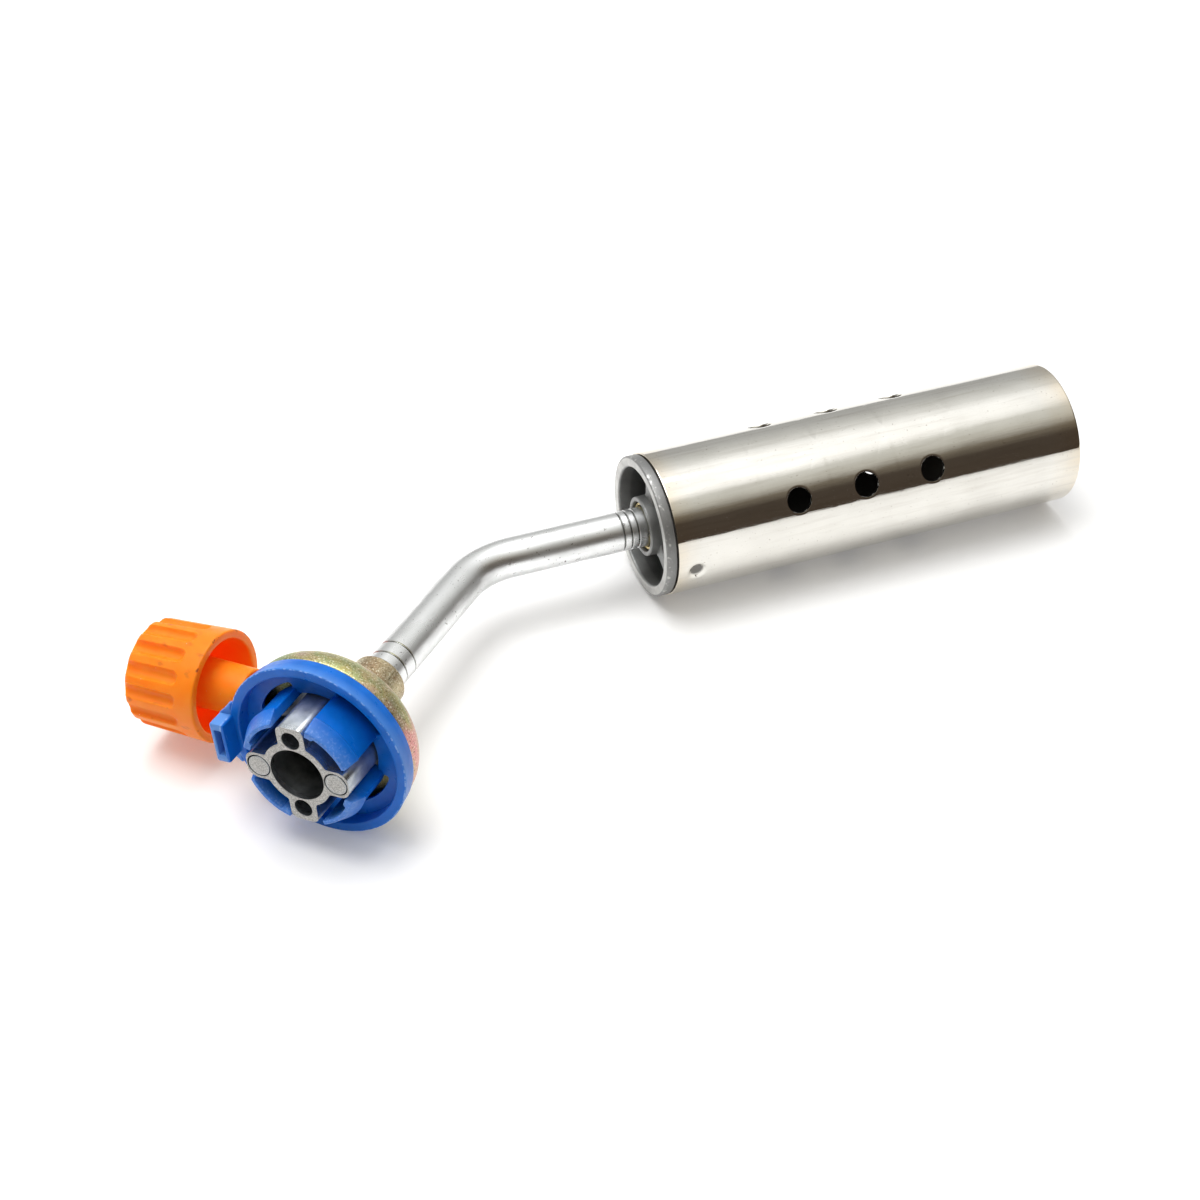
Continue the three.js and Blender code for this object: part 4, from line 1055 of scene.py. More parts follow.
# %% The plug's end face and walls
def lobe_face(middle, centre, hole, depth, edge):
    """Rows round a lobe's hole: its floor and wall at given radii, then mixes of the hole's rim and
    the sector's edge, by a share that grows from 0 to 1."""
    turn = np.radians(np.arange(-LOBE_SECTOR, LOBE_SECTOR + 1))
    outer = (plug_outline(turn + middle) - edge)[:, None] * np.stack([np.cos(turn), np.sin(turn)], 1)
    inner = (BORE_RADIUS + edge) * np.stack([np.cos(turn), np.sin(turn)], 1)
    share = np.linspace(0, 1, 7)[1:-1, None]
    sides = [inner[-1] * (1 - share) + outer[-1] * share, inner[0] * (1 - share) + outer[0] * share]
    boundary = np.concatenate([inner, sides[0], outer[::-1], sides[1][::-1]])
    from_hole = boundary - (centre, 0)
    direction = from_hole / np.linalg.norm(from_hole, axis=1, keepdims=True)
    rows = [(0.0, plug_tip - depth), (0.7 * hole, plug_tip - depth), (hole - 0.1, plug_tip - depth),
            (hole, plug_tip - depth + 0.1), (hole, plug_tip - 0.6), (hole, plug_tip - 0.08),
            (hole + 0.03, plug_tip - 0.02), (hole + 0.08, plug_tip)]
    wall = [np.column_stack([(centre, 0) + r * direction, np.full(len(direction), z)])
            for r, z in rows]
    reach = np.linspace(0, 1, 8)[1:, None]
    start = (centre, 0) + (hole + 0.08) * direction
    face = [np.column_stack([start * (1 - t) + boundary * t, np.full(len(boundary), plug_tip)])
            for t in reach]
    points, faces = skin(np.array(wall + face))
    return turned((points, faces), middle)


def plug_bodies():
    """Lobe faces and the plain sectors between them, a wall that follows the outline outside and
    the bore inside, and a spun floor with the flange."""
    edge = 0.15
    angle = np.radians(np.arange(360))
    outline = plug_outline(angle)
    skins = []
    for k in range(4):
        middle = k * np.pi / 2
        centre, hole, depth = ((PIN_CENTRE, PIN_BORE, PIN_BORE_DEPTH) if k % 2 == 0
                               else (HOLE_LOBE_CENTRE, HOLE_RADIUS, HOLE_DEPTH))
        skins.append(lobe_face(middle, centre, hole, depth, edge))
        between = np.radians(np.arange(90 * k + LOBE_SECTOR, 90 * (k + 1) - LOBE_SECTOR + 1))
        share = np.linspace(0, 1, 7)[:, None]
        inner, outer = BORE_RADIUS + edge, plug_outline(between) - edge
        rows = polar(inner * (1 - share) + outer * share, between, plug_tip)
        points, faces = skin(rows, wrap_columns=False)
        skins.append((points, faces[:, ::-1]))
    wall = [(edge, 0), (0.3 * edge, 0.3 * edge), (0, edge), (0, plug_tip - plug_rear)]
    outside = [polar(outline - inset, angle, plug_tip - down) for inset, down in wall]
    inside = [polar(BORE_RADIUS + inset, angle, plug_tip - down) for inset, down in wall[::-1]]
    points, faces = skin(np.array(outside + inside))
    skins.append((points, faces[:, ::-1]))
    floor = spun(rounded([
        (1.6, plug_rear), (FLANGE_RADIUS, plug_rear), (FLANGE_RADIUS, plug_rear + PLUG_FLANGE),
        (BORE_RADIUS + 0.4, plug_rear + PLUG_FLANGE), (BORE_RADIUS + 0.4, plug_rear + PLUG_FLOOR),
        (1.6, plug_rear + PLUG_FLOOR),
    ], 0.1))
    return [welded(*skins), floor]


# %% [markdown]
# The two pins that hold the plug to the valve body are pressed into the side lobes, and their heads
# have been squeezed flat. They could be drawn on the end face as rings, but a real gap is dark from
# every side. So each is a piece of its own, a little off centre in its bore, with a dark crescent on
# one side. The bare casting is pale and coarse-grained on its sheared end face, and smoother and
# darker down its sides, so the finish changes with the height.

# %% Pins and bare zinc
PIN_SHANK = 1.4
PIN_HEAD = 2.15
PIN_HEAD_HEIGHT = 1.4
PIN_SHIFT = (-0.05, -0.1)


def pin_body(node, side):
    """A shank and a wider head, spun, then moved sideways into the lobe on the given side."""
    rear = valve.reach(node)[0]
    profile = rounded([
        (0, rear), (PIN_SHANK, rear), (PIN_SHANK, plug_tip - PIN_HEAD_HEIGHT),
        (PIN_HEAD, plug_tip - PIN_HEAD_HEIGHT), (PIN_HEAD, plug_tip - 0.05), (0, plug_tip + 0.03),
    ], [0, 0.3, 0.1, 0.1, 0.2, 0], closed=False)
    points, faces = spun(profile, 64, closed=False)
    return points + (side * PIN_CENTRE + PIN_SHIFT[0], PIN_SHIFT[1], 0), faces


def bare_zinc():
    """Grain on the end face, patches down the sides, and painted shade, dark grey, inside the bore's
    radius.
    """
    finish = Finish("bare_zinc", metallic=0.95, roughness=0.5)
    grain = finish.noise(0.26, detail=5)
    patch = finish.noise(2.2, detail=4, shift=6)
    at_face = finish.level(finish.axis("Z"), plug_tip - 0.12, plug_tip - 0.02)
    deep = finish.level(finish.axis("Z"), plug_tip - 0.5, plug_tip - 4)
    # painted shade: the bore's wall and floor are mixed towards dark grey
    painted_shade_in_bore = finish.level(finish.radius(), BORE_RADIUS + 0.1, BORE_RADIUS - 0.05)
    side = finish.mix(finish.level(patch, 0.35, 0.65), (0.52, 0.55, 0.58, 1), (0.34, 0.37, 0.40, 1))
    face = finish.mix(finish.level(grain, 0.38, 0.62), (0.33, 0.325, 0.31, 1), (0.60, 0.59, 0.57, 1))
    colour = finish.mix(at_face, side, face)
    bore_shade = finish.mix(finish.level(patch, 0.35, 0.65), (0.17, 0.17, 0.165, 1), (0.09, 0.09, 0.085, 1))
    finish.set("Base Color", finish.mix(finish.times(painted_shade_in_bore, 0.9), colour, bore_shade))
    finish.set("Metallic", finish.level(at_face, 0, 1, 0.95, 0.55))
    rough = finish.mix(at_face, (0.24, 0.24, 0.24, 1), (0.6, 0.6, 0.6, 1))
    finish.set("Roughness", finish.mix(deep, rough, (0.42, 0.42, 0.42, 1)))
    finish.bump(finish.times(grain, finish.level(at_face, 0, 1, 0.35, 1.0)), 0.08, 0.8)
    finish.bump(patch, 0.1, 0.3)
    return finish.material


zinc = bare_zinc()
make_piece("plug_casting", "connector_plug", plug_bodies(), valve.place, zinc)
for side, word in ((-1, "knob"), (1, "burner")):
    node = f"stake_pin_{word}_side"
    make_piece(f"pin_{word}_side", node, [pin_body(node, side)], valve.place, zinc)

# %% [markdown]
# ## The lock collar
#
# The collar is one blue moulding. A rim stands round a tray, the tray has four windows, and behind
# each window a snap finger with a barb stands up. The mould needs the windows to shape the barbs.
# The windows could be cut out with a boolean, but four panels with a window need none, and it is the
# same construction as the vents, laid out flat instead of rolled. A finger is a brick whose three
# directions become angle, height and thickness. The collar has a little play on the plug, and it
# rests turned by about one degree.

# %% Sizes of the tray and the rim
COLLAR_RADIUS = 18.0
COLLAR_HOLE = 10.9
RIM_WIDTH = 1.95
COLLAR_DRAFT = 0.5
TRAY_THICKNESS = 1.0
RIM_HEIGHT = 3.8
WINDOW_INNER = 12.1
WINDOW_OUTER = 13.35
WINDOW_SPAN = math.radians(48)
FINGER_DIRECTIONS = once_round(4, math.pi / 4)
SPIGOT_INNER = 14.0
SPIGOT_OUTER = 15.3
collar_rear = rim_face - RIM_HEIGHT
tray_floor = collar_rear + TRAY_THICKNESS
rim_inner = COLLAR_RADIUS - RIM_WIDTH
print("collar from", round(collar_rear, 2), "to", round(rim_face, 2), "mm")


# %% Tray with windows, and the rim
def tray_skins(columns):
    """Four pierced panels in polar form: across is the angle times a middle radius, along is the
    radius, and the rows near the window move outwards with it."""
    middle = (COLLAR_HOLE + rim_inner) / 2
    window_middle = (WINDOW_INNER + WINDOW_OUTER) / 2
    half_panel = (np.pi / 4 * middle, (rim_inner - COLLAR_HOLE) / 2)
    half_window = (WINDOW_SPAN / 2 * middle, (WINDOW_OUTER - WINDOW_INNER) / 2)
    flat = pierced_panel(square_walk(columns // 4, 12), half_panel, half_window, 0.6, TRAY_THICKNESS)
    to_window = np.linspace(1, 0, PANEL_STEPS) ** 1.4
    shares = np.concatenate([1 - to_window, np.ones(4), 1 - to_window[::-1]])
    flat[..., 1] += (window_middle - middle) * shares[:, None]
    return [skin(polar(middle + flat[..., 1], direction + flat[..., 0] / middle,
                       tray_floor - flat[..., 2]))
            for direction in FINGER_DIRECTIONS]


def rim_skin(profile, columns):
    """A profile carried once round, with its columns on the same angles as the tray's."""
    return skin(polar(profile[:, 0, None], once_round(columns), profile[:, 1, None]))


def dish_body(columns=FINE):
    """The rim's profile and the lip of the centre hole, carried round and welded to the tray."""
    rim = rounded([
        (rim_inner, tray_floor), (rim_inner, rim_face), (COLLAR_RADIUS, rim_face),
        (COLLAR_RADIUS - COLLAR_DRAFT, collar_rear), (rim_inner, collar_rear),
    ], [0, 0.3, 0.35, 0.25, 0], closed=False)
    lip = np.array([(COLLAR_HOLE, collar_rear), (COLLAR_HOLE, tray_floor)])
    tray = [(points, faces[:, ::-1]) for points, faces in tray_skins(columns)]
    return welded(rim_skin(rim, columns), rim_skin(lip, columns), *tray)


def spigot_body():
    """A low spun ring under the tray, which centres the collar in the cup."""
    return spun(rounded([
        (SPIGOT_INNER, collar_rear - 1), (SPIGOT_OUTER, collar_rear - 1),
        (SPIGOT_OUTER, collar_rear + 0.3), (SPIGOT_INNER, collar_rear + 0.3),
    ], 0.15))


# %% Snap fingers
FINGER_INNER = 10.25
FINGER_OUTER = 12.1
FINGER_BARB = 0.3
FINGER_LEAD_IN = 3.0
FINGER_TIP = 0.75
FINGER_HALF_SPAN = math.radians(26)
COLLAR_TURN = math.radians(1.2)
STOP_INWARD = 0.6
STOP_SPAN = math.radians(9)


def finger_body(direction):
    """A brick bent round the axis. Its outside rises straight, steps out by the barb and tapers to
    the tip, and at one end of the arc its inside is thicker by the stop."""
    half_height = (plug_tip - collar_rear) / 2
    middle = (FINGER_INNER + FINGER_OUTER) / 2
    half = (FINGER_HALF_SPAN * middle, half_height, (FINGER_OUTER - FINGER_INNER) / 2)
    points, faces = brick(half, 0.22, (60, 90, 5))
    angle, height = points[:, 0] / middle, points[:, 1] + collar_rear + half_height
    barb_face = plug_tip - FINGER_LEAD_IN
    outer = np.interp(height, [barb_face - FINGER_BARB, barb_face, plug_tip],
                      [FINGER_OUTER, FINGER_OUTER + FINGER_BARB, FINGER_INNER + FINGER_TIP])
    stop = STOP_INWARD * soft_step(angle, FINGER_HALF_SPAN - STOP_SPAN - 0.02,
                                   FINGER_HALF_SPAN - STOP_SPAN)
    inner = FINGER_INNER - stop
    share = (points[:, 2] / half[2] + 1) / 2
    radius = inner * (1 - share) + outer * share
    return polar(radius, angle + direction, height), faces


# %% [markdown]
# On the knob's side the rim carries a latch lug. It is a block that stands out past the rim and in
# front of it, with a deep rectangular pocket in its end that keeps the moulding from sinking in, and
# its foot spreads along the rim. Inset and extrude would make the pocket from a cube. A stack of
# rounded rectangles does the same in one grid, with every edge already broken: from the pocket's
# floor, up its walls, over the end and down the outside.

# %% The latch lug
LUG_WIDTH = 8.6
LUG_OUT = 1.9
LUG_INSET = 0.9
LUG_FORWARD = 3.4
LUG_ROOT_WIDTH = 13.6
POCKET_WIDTH = 5.6
POCKET_HEIGHT = 1.5
POCKET_DEPTH = 4.0


def lug_body():
    """Rounded rectangles, each with half sizes, a corner radius and a height, joined in order."""
    front = rim_face + LUG_FORWARD
    inner, outer = rim_inner + LUG_INSET, COLLAR_RADIUS + LUG_OUT
    half = ((outer - inner) / 2, LUG_WIDTH / 2)
    pocket = (POCKET_HEIGHT / 2, POCKET_WIDTH / 2)
    stack = [(0, 0, 0, front - POCKET_DEPTH), (*pocket, 0.25, front - POCKET_DEPTH),
             (*pocket, 0.25, front - 0.12), (pocket[0] + 0.12, pocket[1] + 0.12, 0.35, front),
             (half[0] - 0.28, half[1] - 0.28, 0.25, front),
             (half[0] - 0.08, half[1] - 0.08, 0.4, front - 0.08),
             (*half, 0.45, front - 0.28), (*half, 0.45, collar_rear + 0.2),
             (half[0] - 0.2, half[1] - 0.2, 0.3, collar_rear), (0, 0, 0, collar_rear)]
    walk = square_walk(40, 80)
    rows = [np.column_stack([pulled_in(walk, (x, y), corner), np.full(len(walk), z)])
            for x, y, corner, z in stack]
    points, faces = skin(np.array(rows))
    return points - (inner + half[0], 0, 0), faces


def lug_root_body():
    """A brick whose width goes from the root's to the lug's by the power 0.9 of the way out, and
    whose outer side leans by the collar's draft."""
    outer, inner = COLLAR_RADIUS + LUG_OUT - 0.05, COLLAR_RADIUS - 0.8
    half = ((outer - inner) / 2, LUG_ROOT_WIDTH / 2, (rim_face - collar_rear) / 2 - 0.01)
    points, faces = brick(half, 0.25, (14, 20, 6))
    way_out = (points[:, 0] / half[0] + 1) / 2
    width = 1 + (LUG_WIDTH / LUG_ROOT_WIDTH - 1) * way_out**0.9
    draft = COLLAR_DRAFT * (0.5 - points[:, 2] / half[2] / 2)
    x = -(points[:, 0] + (outer + inner) / 2) + draft
    return np.stack([x, points[:, 1] * width, points[:, 2] + (rim_face + collar_rear) / 2], 1), faces


# %% [markdown]
# The collar's blue plastic is semi-gloss and slightly see-through, so a little light scatters inside
# it. Handling has left pale scuffs and fine lines along the rim's outer edge and on the finger tips.
# They could be painted by hand, but wear follows the shape, so height and radius place it.

# %% Blue plastic
def blue_plastic():
    """Blue, paler outside the rim's radius, and paler still where a mask of wear is high: scuffs on
    the edge, marks and lines near the finger tips, and specks."""
    finish = Finish("blue_plastic", roughness=0.34, Subsurface_Weight=0.15, Specular_IOR_Level=0.28)
    finish.set("Subsurface Radius", (0.0004, 0.0008, 0.002))
    finish.set("Subsurface Scale", 1.0)
    soft = finish.noise(3, detail=3)
    blue = finish.mix(finish.level(soft, 0.3, 0.7), srgb(2, 98, 192), srgb(8, 108, 208))
    radius, height = finish.radius(), finish.axis("Z")
    outside = finish.level(radius, COLLAR_RADIUS - 0.3, COLLAR_RADIUS + 0.1, 0.0, 0.5)
    blue = finish.mix(outside, blue, srgb(122, 172, 232))
    on_edge = finish.times(finish.level(radius, COLLAR_RADIUS - 0.34, COLLAR_RADIUS - 0.22),
                           finish.level(radius, COLLAR_RADIUS + 0.1, COLLAR_RADIUS))
    on_edge = finish.times(on_edge, finish.level(height, rim_face - 0.2, rim_face - 0.1))
    scuff = finish.times(on_edge, finish.level(finish.noise(0.8, detail=6), 0.47, 0.6))
    scuff = finish.times(scuff, 0.6)
    on_tip = finish.times(finish.level(height, plug_tip - 2.4, plug_tip - 0.6),
                          finish.level(finish.noise(0.5, detail=5, shift=7), 0.5, 0.75, 0.25, 0.8))
    lines = finish.level(finish.noise(0.3, detail=3, stretch=(9, 9, 1), shift=13), 0.66, 0.74)
    lines = finish.times(lines, finish.level(height, plug_tip - 6, plug_tip - 2))
    specks = finish.level(finish.noise(0.28, detail=1, shift=19), 0.80, 0.84)
    pale = finish.larger(finish.larger(scuff, finish.times(on_tip, 0.7)),
                         finish.larger(finish.times(lines, 0.35), specks))
    finish.set("Base Color", finish.mix(finish.times(pale, 0.8), blue, srgb(170, 205, 248)))
    finish.set("Roughness", finish.level(finish.noise(1.2, detail=4, shift=3), 0.3, 0.7, 0.27, 0.42))
    finish.bump(finish.noise(1.4, detail=3, shift=8), 0.03, 0.3)
    finish.bump(pale, 0.02, 0.3)
    return finish.material


collar_bodies = [dish_body(), spigot_body(), lug_body(), lug_root_body()]
collar_bodies += [finger_body(direction) for direction in FINGER_DIRECTIONS]
collar_bodies = [turned(body, COLLAR_TURN) for body in collar_bodies]
make_piece("bayonet_collar", "lock_collar", collar_bodies, valve.place, blue_plastic())

# %% [markdown]
# ## The knob
#
# The knob is a cup that opens towards the valve, with a thick stem inside it. Its whole section, from
# the stem's bore over the rim and back through the screw's recess, is one closed profile. Fifteen
# boolean cuts would leave ragged faces at the ends of the flutes. Instead the flutes are cut by the
# formula of a round cutter: for each direction the distance to the cutter's near side, with a ball
# at its end, and the surface keeps the smaller of that distance and its own radius.

# %% Sizes of the knob
FLUTE_COUNT = 15
FLUTE_PHASE = math.radians(3)
FLUTE_RADIUS = 1.5
FLUTE_DEPTH = 1.05
FLUTE_LENGTH = 12.0
FLUTE_BLEND = 0.22
COLUMNS_PER_FLUTE = 26
STEM_RADIUS = 4.6
STEM_ROOT = 5.2
STEM_OUT = 6.2
STEM_BORE = 1.7
KNOB_RIM = 10.85
KNOB_END = 10.25
KNOB_WALL = 1.65
KNOB_END_WALL = 3.0
SCREW_RECESS = 1.8
SCREW_SEAT_RADIUS = 2.9
RIB_COUNT = 4
stem_start, knob_end, _ = knob_axis.reach("knob")
knob_rim = stem_start + STEM_OUT
knob_web = knob_end - KNOB_END_WALL
spindle_end = knob_axis.reach("spindle")[1]
print("knob from", round(stem_start, 2), "to", round(knob_end, 2), "mm out along its axis")


# %% The fluted cup and its stem
def cutter_side(angle, height):
    """Distance to a round cutter's near side: its centre's, times the cosine of the turn, less the
    root of the cutter's radius squared less the squares of both ways off its centre."""
    taper = (KNOB_RIM - KNOB_END) * (knob_end - height) / (knob_end - knob_rim)
    centre = KNOB_END + taper - FLUTE_DEPTH + FLUTE_RADIUS
    pitch = 2 * np.pi / FLUTE_COUNT
    turn = (angle - FLUTE_PHASE + pitch / 2) % pitch - pitch / 2
    past_end = np.maximum(knob_end - FLUTE_LENGTH + FLUTE_RADIUS - height, 0)
    square = FLUTE_RADIUS**2 - past_end**2 - (centre * np.sin(turn)) ** 2
    near_side = centre * np.cos(turn) - np.sqrt(np.maximum(square, 0))
    return np.where(square > 0, near_side, 2 * KNOB_RIM)


def soft_minimum(first, second, blend):
    """The smaller of two values; where they are closer than blend, a mix of both by a share n,
    less blend times n (1 - n)."""
    near = np.clip(0.5 + 0.5 * (second - first) / blend, 0, 1)
    return second * (1 - near) + first * near - blend * near * (1 - near)


def knob_body():
    """The closed section carried round, with its outer wall cut back to the cutter's near side."""
    profile = rounded([
        (STEM_BORE, stem_start), (STEM_RADIUS, stem_start), (STEM_ROOT, knob_web),
        (KNOB_END - KNOB_WALL, knob_web), (KNOB_RIM - KNOB_WALL, knob_rim), (KNOB_RIM, knob_rim),
        (KNOB_END, knob_end), (SCREW_SEAT_RADIUS, knob_end),
        (SCREW_SEAT_RADIUS, knob_end - SCREW_RECESS), (1.3, knob_end - SCREW_RECESS),
        (1.3, spindle_end + 0.3), (STEM_BORE, spindle_end + 0.3),
    ], [0.2, 0.45, 0.8, 0.8, 0.4, 0.45, 1.45, 0.35, 0.1, 0.1, 0.1, 0.1])
    # Corners 5 and 6 of the section bound the fluted wall, which needs the closest rows.
    rim_start, end_stop = 5 * CORNER_STEPS, 7 * CORNER_STEPS
    wall = refined(profile[rim_start:end_stop], 0.3)
    rest = refined(np.concatenate([profile[end_stop - 1:], profile[:rim_start + 1]]), 1.0)
    closed = np.concatenate([wall[:-1], rest[:-1]])
    angle = once_round(FLUTE_COUNT * COLUMNS_PER_FLUTE)
    radius, height = closed[:, 0, None], closed[:, 1, None]
    held = soft_minimum(radius, cutter_side(angle, height), FLUTE_BLEND)
    held = np.where(radius < KNOB_END - KNOB_WALL + 0.8, radius, held)
    return welded(skin(polar(held, angle, height), wrap_rows=True))


def rib_body(angle):
    """A thin brick from the stem to the wall, in the bottom of the cup."""
    inner, outer = STEM_RADIUS, KNOB_END - KNOB_WALL + 0.4
    half = ((outer - inner) / 2, 0.5, 2.6)
    points, faces = brick(half, 0.2)
    return turned((points + ((outer + inner) / 2, 0, knob_web - 2.4), faces), angle)


# %% [markdown]
# The knob is orange plastic, bright where light falls on it and a deep red-orange where light has
# bounced inside the cup. That comes from a saturated colour and from scattering in the plastic. Light
# through a thin wall takes very many samples to come out clean, so a weak glow on the cup's inside
# stands for it. Dark rubbed marks sit on the flutes and nicks along the rim, with a few pale specks.

# %% Orange plastic
def orange_plastic():
    """Orange, darker where nicks or rubbed marks are, and a glow between the stem and the wall."""
    finish = Finish("orange_plastic", roughness=0.38, Subsurface_Weight=0.5, Specular_IOR_Level=0.22)
    finish.set("Subsurface Radius", (0.006, 0.0014, 0.0002))
    finish.set("Subsurface Scale", 1.0)
    soft = finish.noise(4, detail=3)
    orange = finish.mix(finish.level(soft, 0.3, 0.7), srgb(255, 128, 14), srgb(255, 140, 34))
    radius, height = finish.radius(), finish.axis("Z")
    at_rim = finish.times(finish.level(height, knob_rim + 0.5, knob_rim + 0.15),
                          finish.level(radius, KNOB_RIM - 0.55, KNOB_RIM - 0.3))
    nicks = finish.times(at_rim, finish.level(finish.noise(2.4, detail=7), 0.60, 0.66))
    outside = finish.level(radius, KNOB_RIM - 0.8, KNOB_RIM - 0.55)
    rubbed = finish.level(finish.noise(2.2, detail=6, stretch=(1, 1, 1.6), shift=12), 0.62, 0.74)
    rubbed = finish.times(rubbed, outside)
    dirt = finish.larger(finish.times(nicks, 0.85),
                         finish.times(rubbed, 0.45))
    colour = finish.mix(dirt, orange, srgb(92, 44, 30))
    specks = finish.level(finish.noise(0.3, detail=1, shift=23), 0.80, 0.84)
    finish.set("Base Color", finish.mix(specks, colour, srgb(255, 236, 210)))
    in_cup = finish.times(finish.level(radius, KNOB_END - KNOB_WALL + 0.7, KNOB_END - KNOB_WALL),
                          finish.level(radius, STEM_ROOT - 0.3, STEM_ROOT + 0.5))
    finish.set("Emission Color", srgb(255, 74, 6))
    finish.set("Emission Strength", finish.times(in_cup, 0.22))
    finish.set("Roughness", finish.level(finish.noise(1.5, detail=4, shift=3), 0.3, 0.7, 0.30, 0.46))
    finish.bump(finish.noise(1.2, detail=4, shift=8), 0.03, 0.35)
    return finish.material


knob_bodies = [knob_body()]
knob_bodies += [rib_body(angle) for angle in once_round(RIB_COUNT, math.pi / RIB_COUNT)]
make_piece("fluted_knob", "knob", knob_bodies, knob_axis.place, orange_plastic())

# %% [markdown]
# ## Screw, gland nut and probe
#
# A slotted screw in the knob's recess holds the knob on its spindle. The gland nut closes the side
# boss round the spindle. The hollow probe stands in the plug's bore, inside a rubber seal. Their CAD
# meshes could stay, but each can be seen from some side, and a spun profile is only a few lines. The
# screw's slot is pressed into the finished head, since a slot is just points that lie lower.

# %% Small turned pieces
SCREW_HEAD = 2.6
SCREW_SLOT = 0.7
SCREW_SLOT_DEPTH = 0.6
GLAND_FLATS = 8.0
GLAND_HEAD = 1.6
PROBE_BORE = 0.6


def screw_body():
    """A spun profile whose top sinks where the distance across the slot is below half its width."""
    start, end, _ = knob_axis.reach("knob_screw")
    profile = rounded([
        (0, start), (0.8, start + 0.3), (0.8, end - 1.2), (SCREW_HEAD, end - 1.2),
        (SCREW_HEAD, end - 0.25), (SCREW_HEAD - 0.5, end), (0, end),
    ], [0, 0.1, 0.1, 0.15, 0.25, 0.4, 0], closed=False)
    profile = refined(profile, 0.07)
    points, faces = spun(profile, 192, closed=False)
    across = np.abs(points[:, 0])
    on_top = soft_step(points[:, 2], end - 0.5, end - 0.3)
    sunk = 1 - soft_step(across, SCREW_SLOT / 2 - 0.06, SCREW_SLOT / 2 + 0.06)
    points[:, 2] -= SCREW_SLOT_DEPTH * sunk * on_top
    return points, faces


def gland_body():
    """A threaded part and a head, spun, with the head held inside a hexagon."""
    start, end, _ = knob_axis.reach("gland_nut")
    corner = GLAND_FLATS / math.sqrt(3)
    head = end - GLAND_HEAD
    profile = rounded([
        (1.75, start), (3.5, start), (3.5, head), (0.93 * corner, head), (corner, head + 0.25),
        (corner, end - 0.3), (0.9 * corner, end), (1.75, end),
    ], 0.1)
    return hexagonal(refined(profile, 0.3), GLAND_FLATS, head, end)


def probe_body():
    """A tube with a chamfered mouth, spun."""
    start, end, radius = valve.reach("inlet_probe")
    return spun(rounded([
        (PROBE_BORE, start), (radius, start), (radius, end - 0.4), (radius - 0.4, end),
        (PROBE_BORE, end),
    ], 0.12), 64)


def seal_body():
    """A ring of nearly round section, spun."""
    start, end, radius = valve.reach("inlet_seal")
    return spun(rounded([(1.6, start), (radius, start), (radius, end), (1.6, end)], 0.4), 96)


def steel_screw():
    """Zinc-plated steel: bluish grey with fine turning lines."""
    finish = Finish("plated_screw", metallic=1.0, roughness=0.3)
    lines = finish.noise(0.3, detail=3)
    finish.set("Base Color", finish.mix(finish.level(lines, 0.35, 0.65), (0.58, 0.60, 0.63, 1),
                                        (0.42, 0.43, 0.45, 1)))
    finish.set("Roughness", finish.level(lines, 0.3, 0.7, 0.22, 0.4))
    return finish.bump(lines, 0.01, 0.5).material


def rubber(name="black_rubber", own=True):
    """Moulded rubber: nearly black, matt, with a faint bloom in patches."""
    finish = Finish(name, roughness=0.7, own=own)
    bloom = finish.noise(1.2, detail=4)
    finish.set("Base Color", finish.mix(finish.level(bloom, 0.4, 0.7), (0.012, 0.012, 0.013, 1),
                                        (0.035, 0.035, 0.036, 1)))
    finish.set("Roughness", finish.level(bloom, 0.3, 0.7, 0.6, 0.82))
    return finish.bump(finish.noise(0.2, detail=2), 0.01, 0.4).material


make_piece("slotted_screw", "knob_screw", [screw_body()], knob_axis.place, steel_screw())
make_piece("hex_gland", "gland_nut", [gland_body()], knob_axis.place, brass_finish)
make_piece("hollow_probe", "inlet_probe", [probe_body()], valve.place, brass_finish)
make_piece("probe_seal", "inlet_seal", [seal_body()], valve.place, rubber())

# %% [markdown]
# ## What stays sealed inside
#
# The seat, spindle, O-ring, gaskets and filters are closed in by other pieces and keep their CAD
# mesh. They still get brass and rubber finishes, on Object coordinates.

# %% Finishes for the inner pieces
inner_brass = brass("inner_brass", own=False)
inner_rubber = rubber("inner_rubber", own=False)
inner_finishes = {"brass": inner_brass, "rubber": inner_rubber}
for node in ("valve_seat", "spindle", "spindle_o_ring", "body_gasket", "tube_seal", "inlet_filter",
             "jet_filter"):
    item = frame["nodes"][node]
    for slot in item.material_slots:
        slot.material = inner_finishes[slot_of(node)]
print("inner pieces finished:", len(inner_finishes), "finishes")

# %% [markdown]
# ## Floor, light and camera
#
# The torch lies on a plain white table. A polished tube shows what is round it, so the room matters:
# white straight above, pale grey behind, and dark brown low down on the camera's side, which is the
# dark band along the sleeve. Big cards and lamps would do this in a studio. Here the world's colour
# is worked out from the direction, how high it points and whether to the front or to the back, and
# nothing stands in the way of the other views. One wide lamp above gives soft contact shadows.

# %% The table
def pale_floor():
    """White, very slightly cloudy, with a weak glow that keeps the table from going grey."""
    finish = Finish("white_table", roughness=0.6, own=False, Emission_Strength=0.16)
    cloud = finish.noise(60, detail=2)
    finish.set("Base Color", finish.mix(finish.level(cloud, 0.3, 0.7), (0.86, 0.86, 0.86, 1),
                                        (0.84, 0.84, 0.845, 1)))
    return finish.material


FLOOR_HALF = 3.0
floor_rows = FLOOR_HALF * np.array([[(-1, -1, 0), (1, -1, 0)], [(-1, 1, 0), (1, 1, 0)]])
floor_mesh = bpy.data.meshes.new("table")
floor_mesh.from_pydata(floor_rows.reshape(-1, 3).tolist(), [], [(0, 1, 3, 2)])
floor_mesh.materials.append(pale_floor())
floor = bpy.data.objects.new("table", floor_mesh)
bpy.context.scene.collection.objects.link(floor)

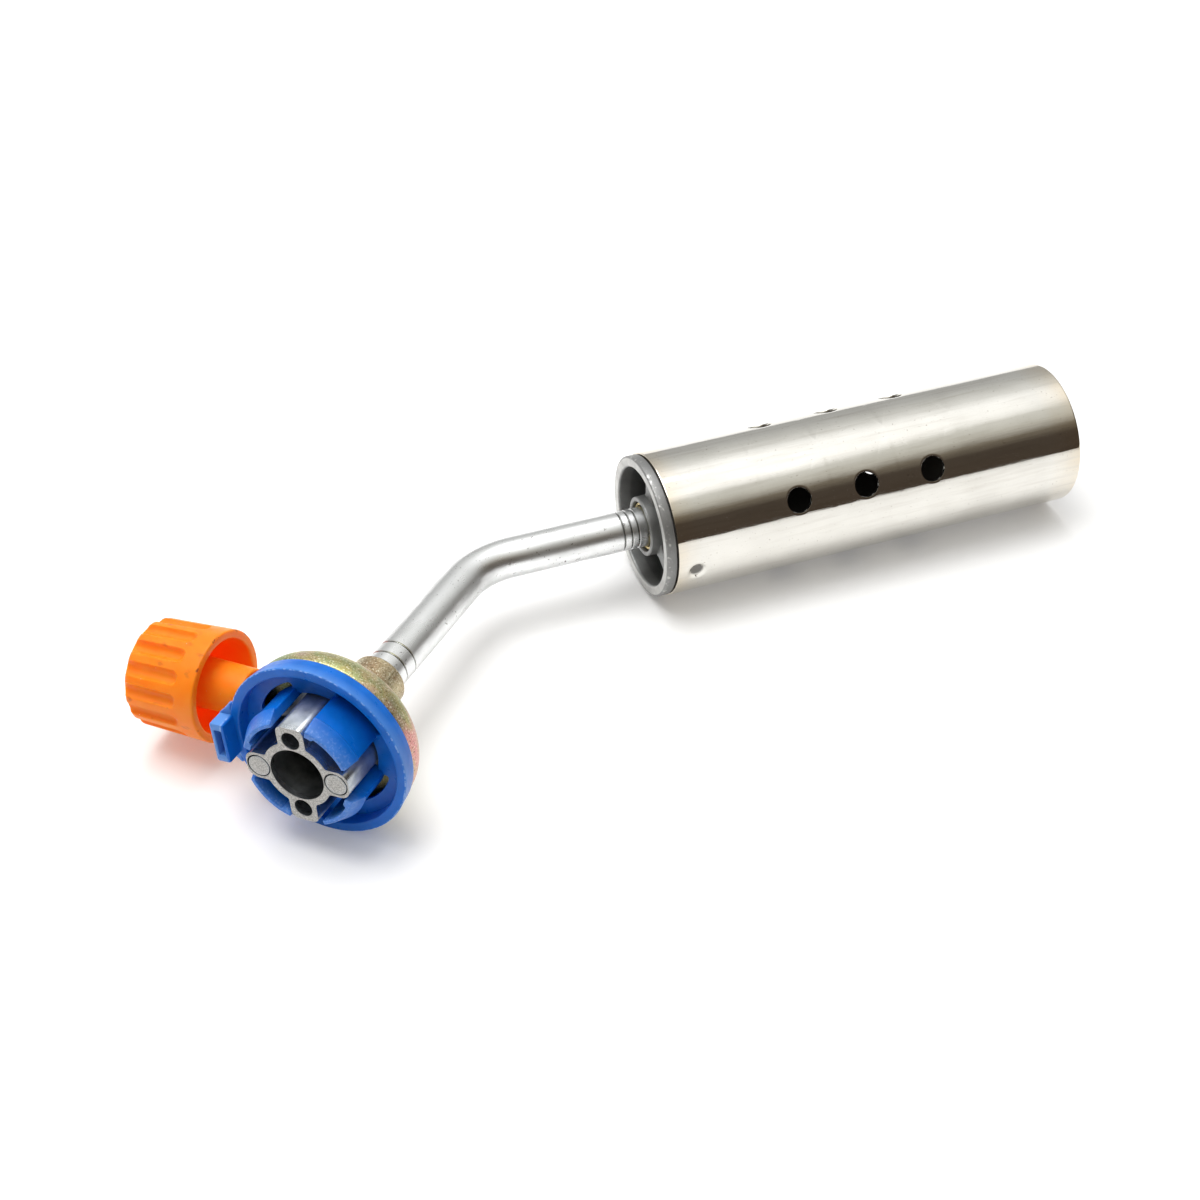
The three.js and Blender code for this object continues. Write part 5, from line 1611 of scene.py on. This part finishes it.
# %% The room's light
def room_light():
    """The world's colour: a ramp over height for the front and one for the back, mixed by depth."""
    world = bpy.data.worlds.new("studio")
    bpy.context.scene.world = world
    world.use_nodes = True
    nodes, links = world.node_tree.nodes, world.node_tree.links
    place = nodes.new("ShaderNodeTexCoord")
    split = nodes.new("ShaderNodeSeparateXYZ")
    links.new(place.outputs["Generated"], split.inputs["Vector"])

    def by_height(steps):
        """Colours by degrees above the horizon; a direction's height is the sine of that angle."""
        ramp = nodes.new("ShaderNodeValToRGB")
        links.new(split.outputs["Z"], ramp.inputs["Fac"])
        return fill_ramp(ramp, [(math.sin(math.radians(degrees)), (*colour, 1))
                                for degrees, colour in steps])

    front = by_height([(0, (0.07, 0.052, 0.038)), (27, (0.075, 0.058, 0.044)),
                       (37, (0.20, 0.17, 0.13)), (48, (0.62, 0.60, 0.54)),
                       (58, (0.78, 0.77, 0.72)), (66, (1.45, 1.44, 1.42)), (90, (1.5, 1.5, 1.48))])
    back = by_height([(0, (0.46, 0.46, 0.45)), (20, (0.52, 0.52, 0.51)), (36, (0.68, 0.68, 0.66)),
                      (48, (0.90, 0.90, 0.88)), (60, (1.35, 1.35, 1.34)), (90, (1.5, 1.5, 1.48))])
    facing = nodes.new("ShaderNodeMapRange")
    facing.inputs["From Min"].default_value = -0.25
    facing.inputs["From Max"].default_value = 0.25
    links.new(split.outputs["Y"], facing.inputs["Value"])
    blend = nodes.new("ShaderNodeMix")
    blend.data_type = "RGBA"
    links.new(facing.outputs["Result"], blend.inputs[0])
    links.new(front, blend.inputs[6])
    links.new(back, blend.inputs[7])
    links.new(blend.outputs[2], nodes["Background"].inputs["Color"])
    nodes["Background"].inputs["Strength"].default_value = 1.0


room_light()

lamp_data = bpy.data.lights.new("overhead_panel", "AREA")
lamp_data.shape = "RECTANGLE"
lamp_data.size = 0.9
lamp_data.size_y = 0.6
lamp_data.energy = 7.5
lamp = bpy.data.objects.new("overhead_panel", lamp_data)
lamp.location = (-0.15, 0.2, 1.0)
lamp.rotation_euler = (Vector((0, 0, 0)) - lamp.location).to_track_quat("-Z", "Y").to_euler()
bpy.context.scene.collection.objects.link(lamp)

# %% The camera
AIM_FROM_BEND = (0.0188, -0.0190, 0.0)
CAMERA_DISTANCE = 0.4055
CAMERA_AZIMUTH = math.radians(-20.98)
CAMERA_ELEVATION = math.radians(39.6)
LENS_MM = 62.17
SENSOR_MM = 36.0

back_to_camera = Vector((math.sin(CAMERA_AZIMUTH) * math.cos(CAMERA_ELEVATION),
                         -math.cos(CAMERA_AZIMUTH) * math.cos(CAMERA_ELEVATION),
                         math.sin(CAMERA_ELEVATION)))
camera_data = bpy.data.cameras.new("camera")
camera_data.lens = LENS_MM
camera_data.sensor_width = SENSOR_MM
camera_data.clip_start = 0.01
camera = bpy.data.objects.new("camera", camera_data)
camera.location = Vector(bend_corner) + Vector(AIM_FROM_BEND) + CAMERA_DISTANCE * back_to_camera
camera.rotation_euler = (-back_to_camera).to_track_quat("-Z", "Y").to_euler()
bpy.context.scene.collection.objects.link(camera)
bpy.context.scene.camera = camera
bpy.context.scene.view_settings.view_transform = "Standard"
print("camera at", tuple(round(value, 4) for value in camera.location))
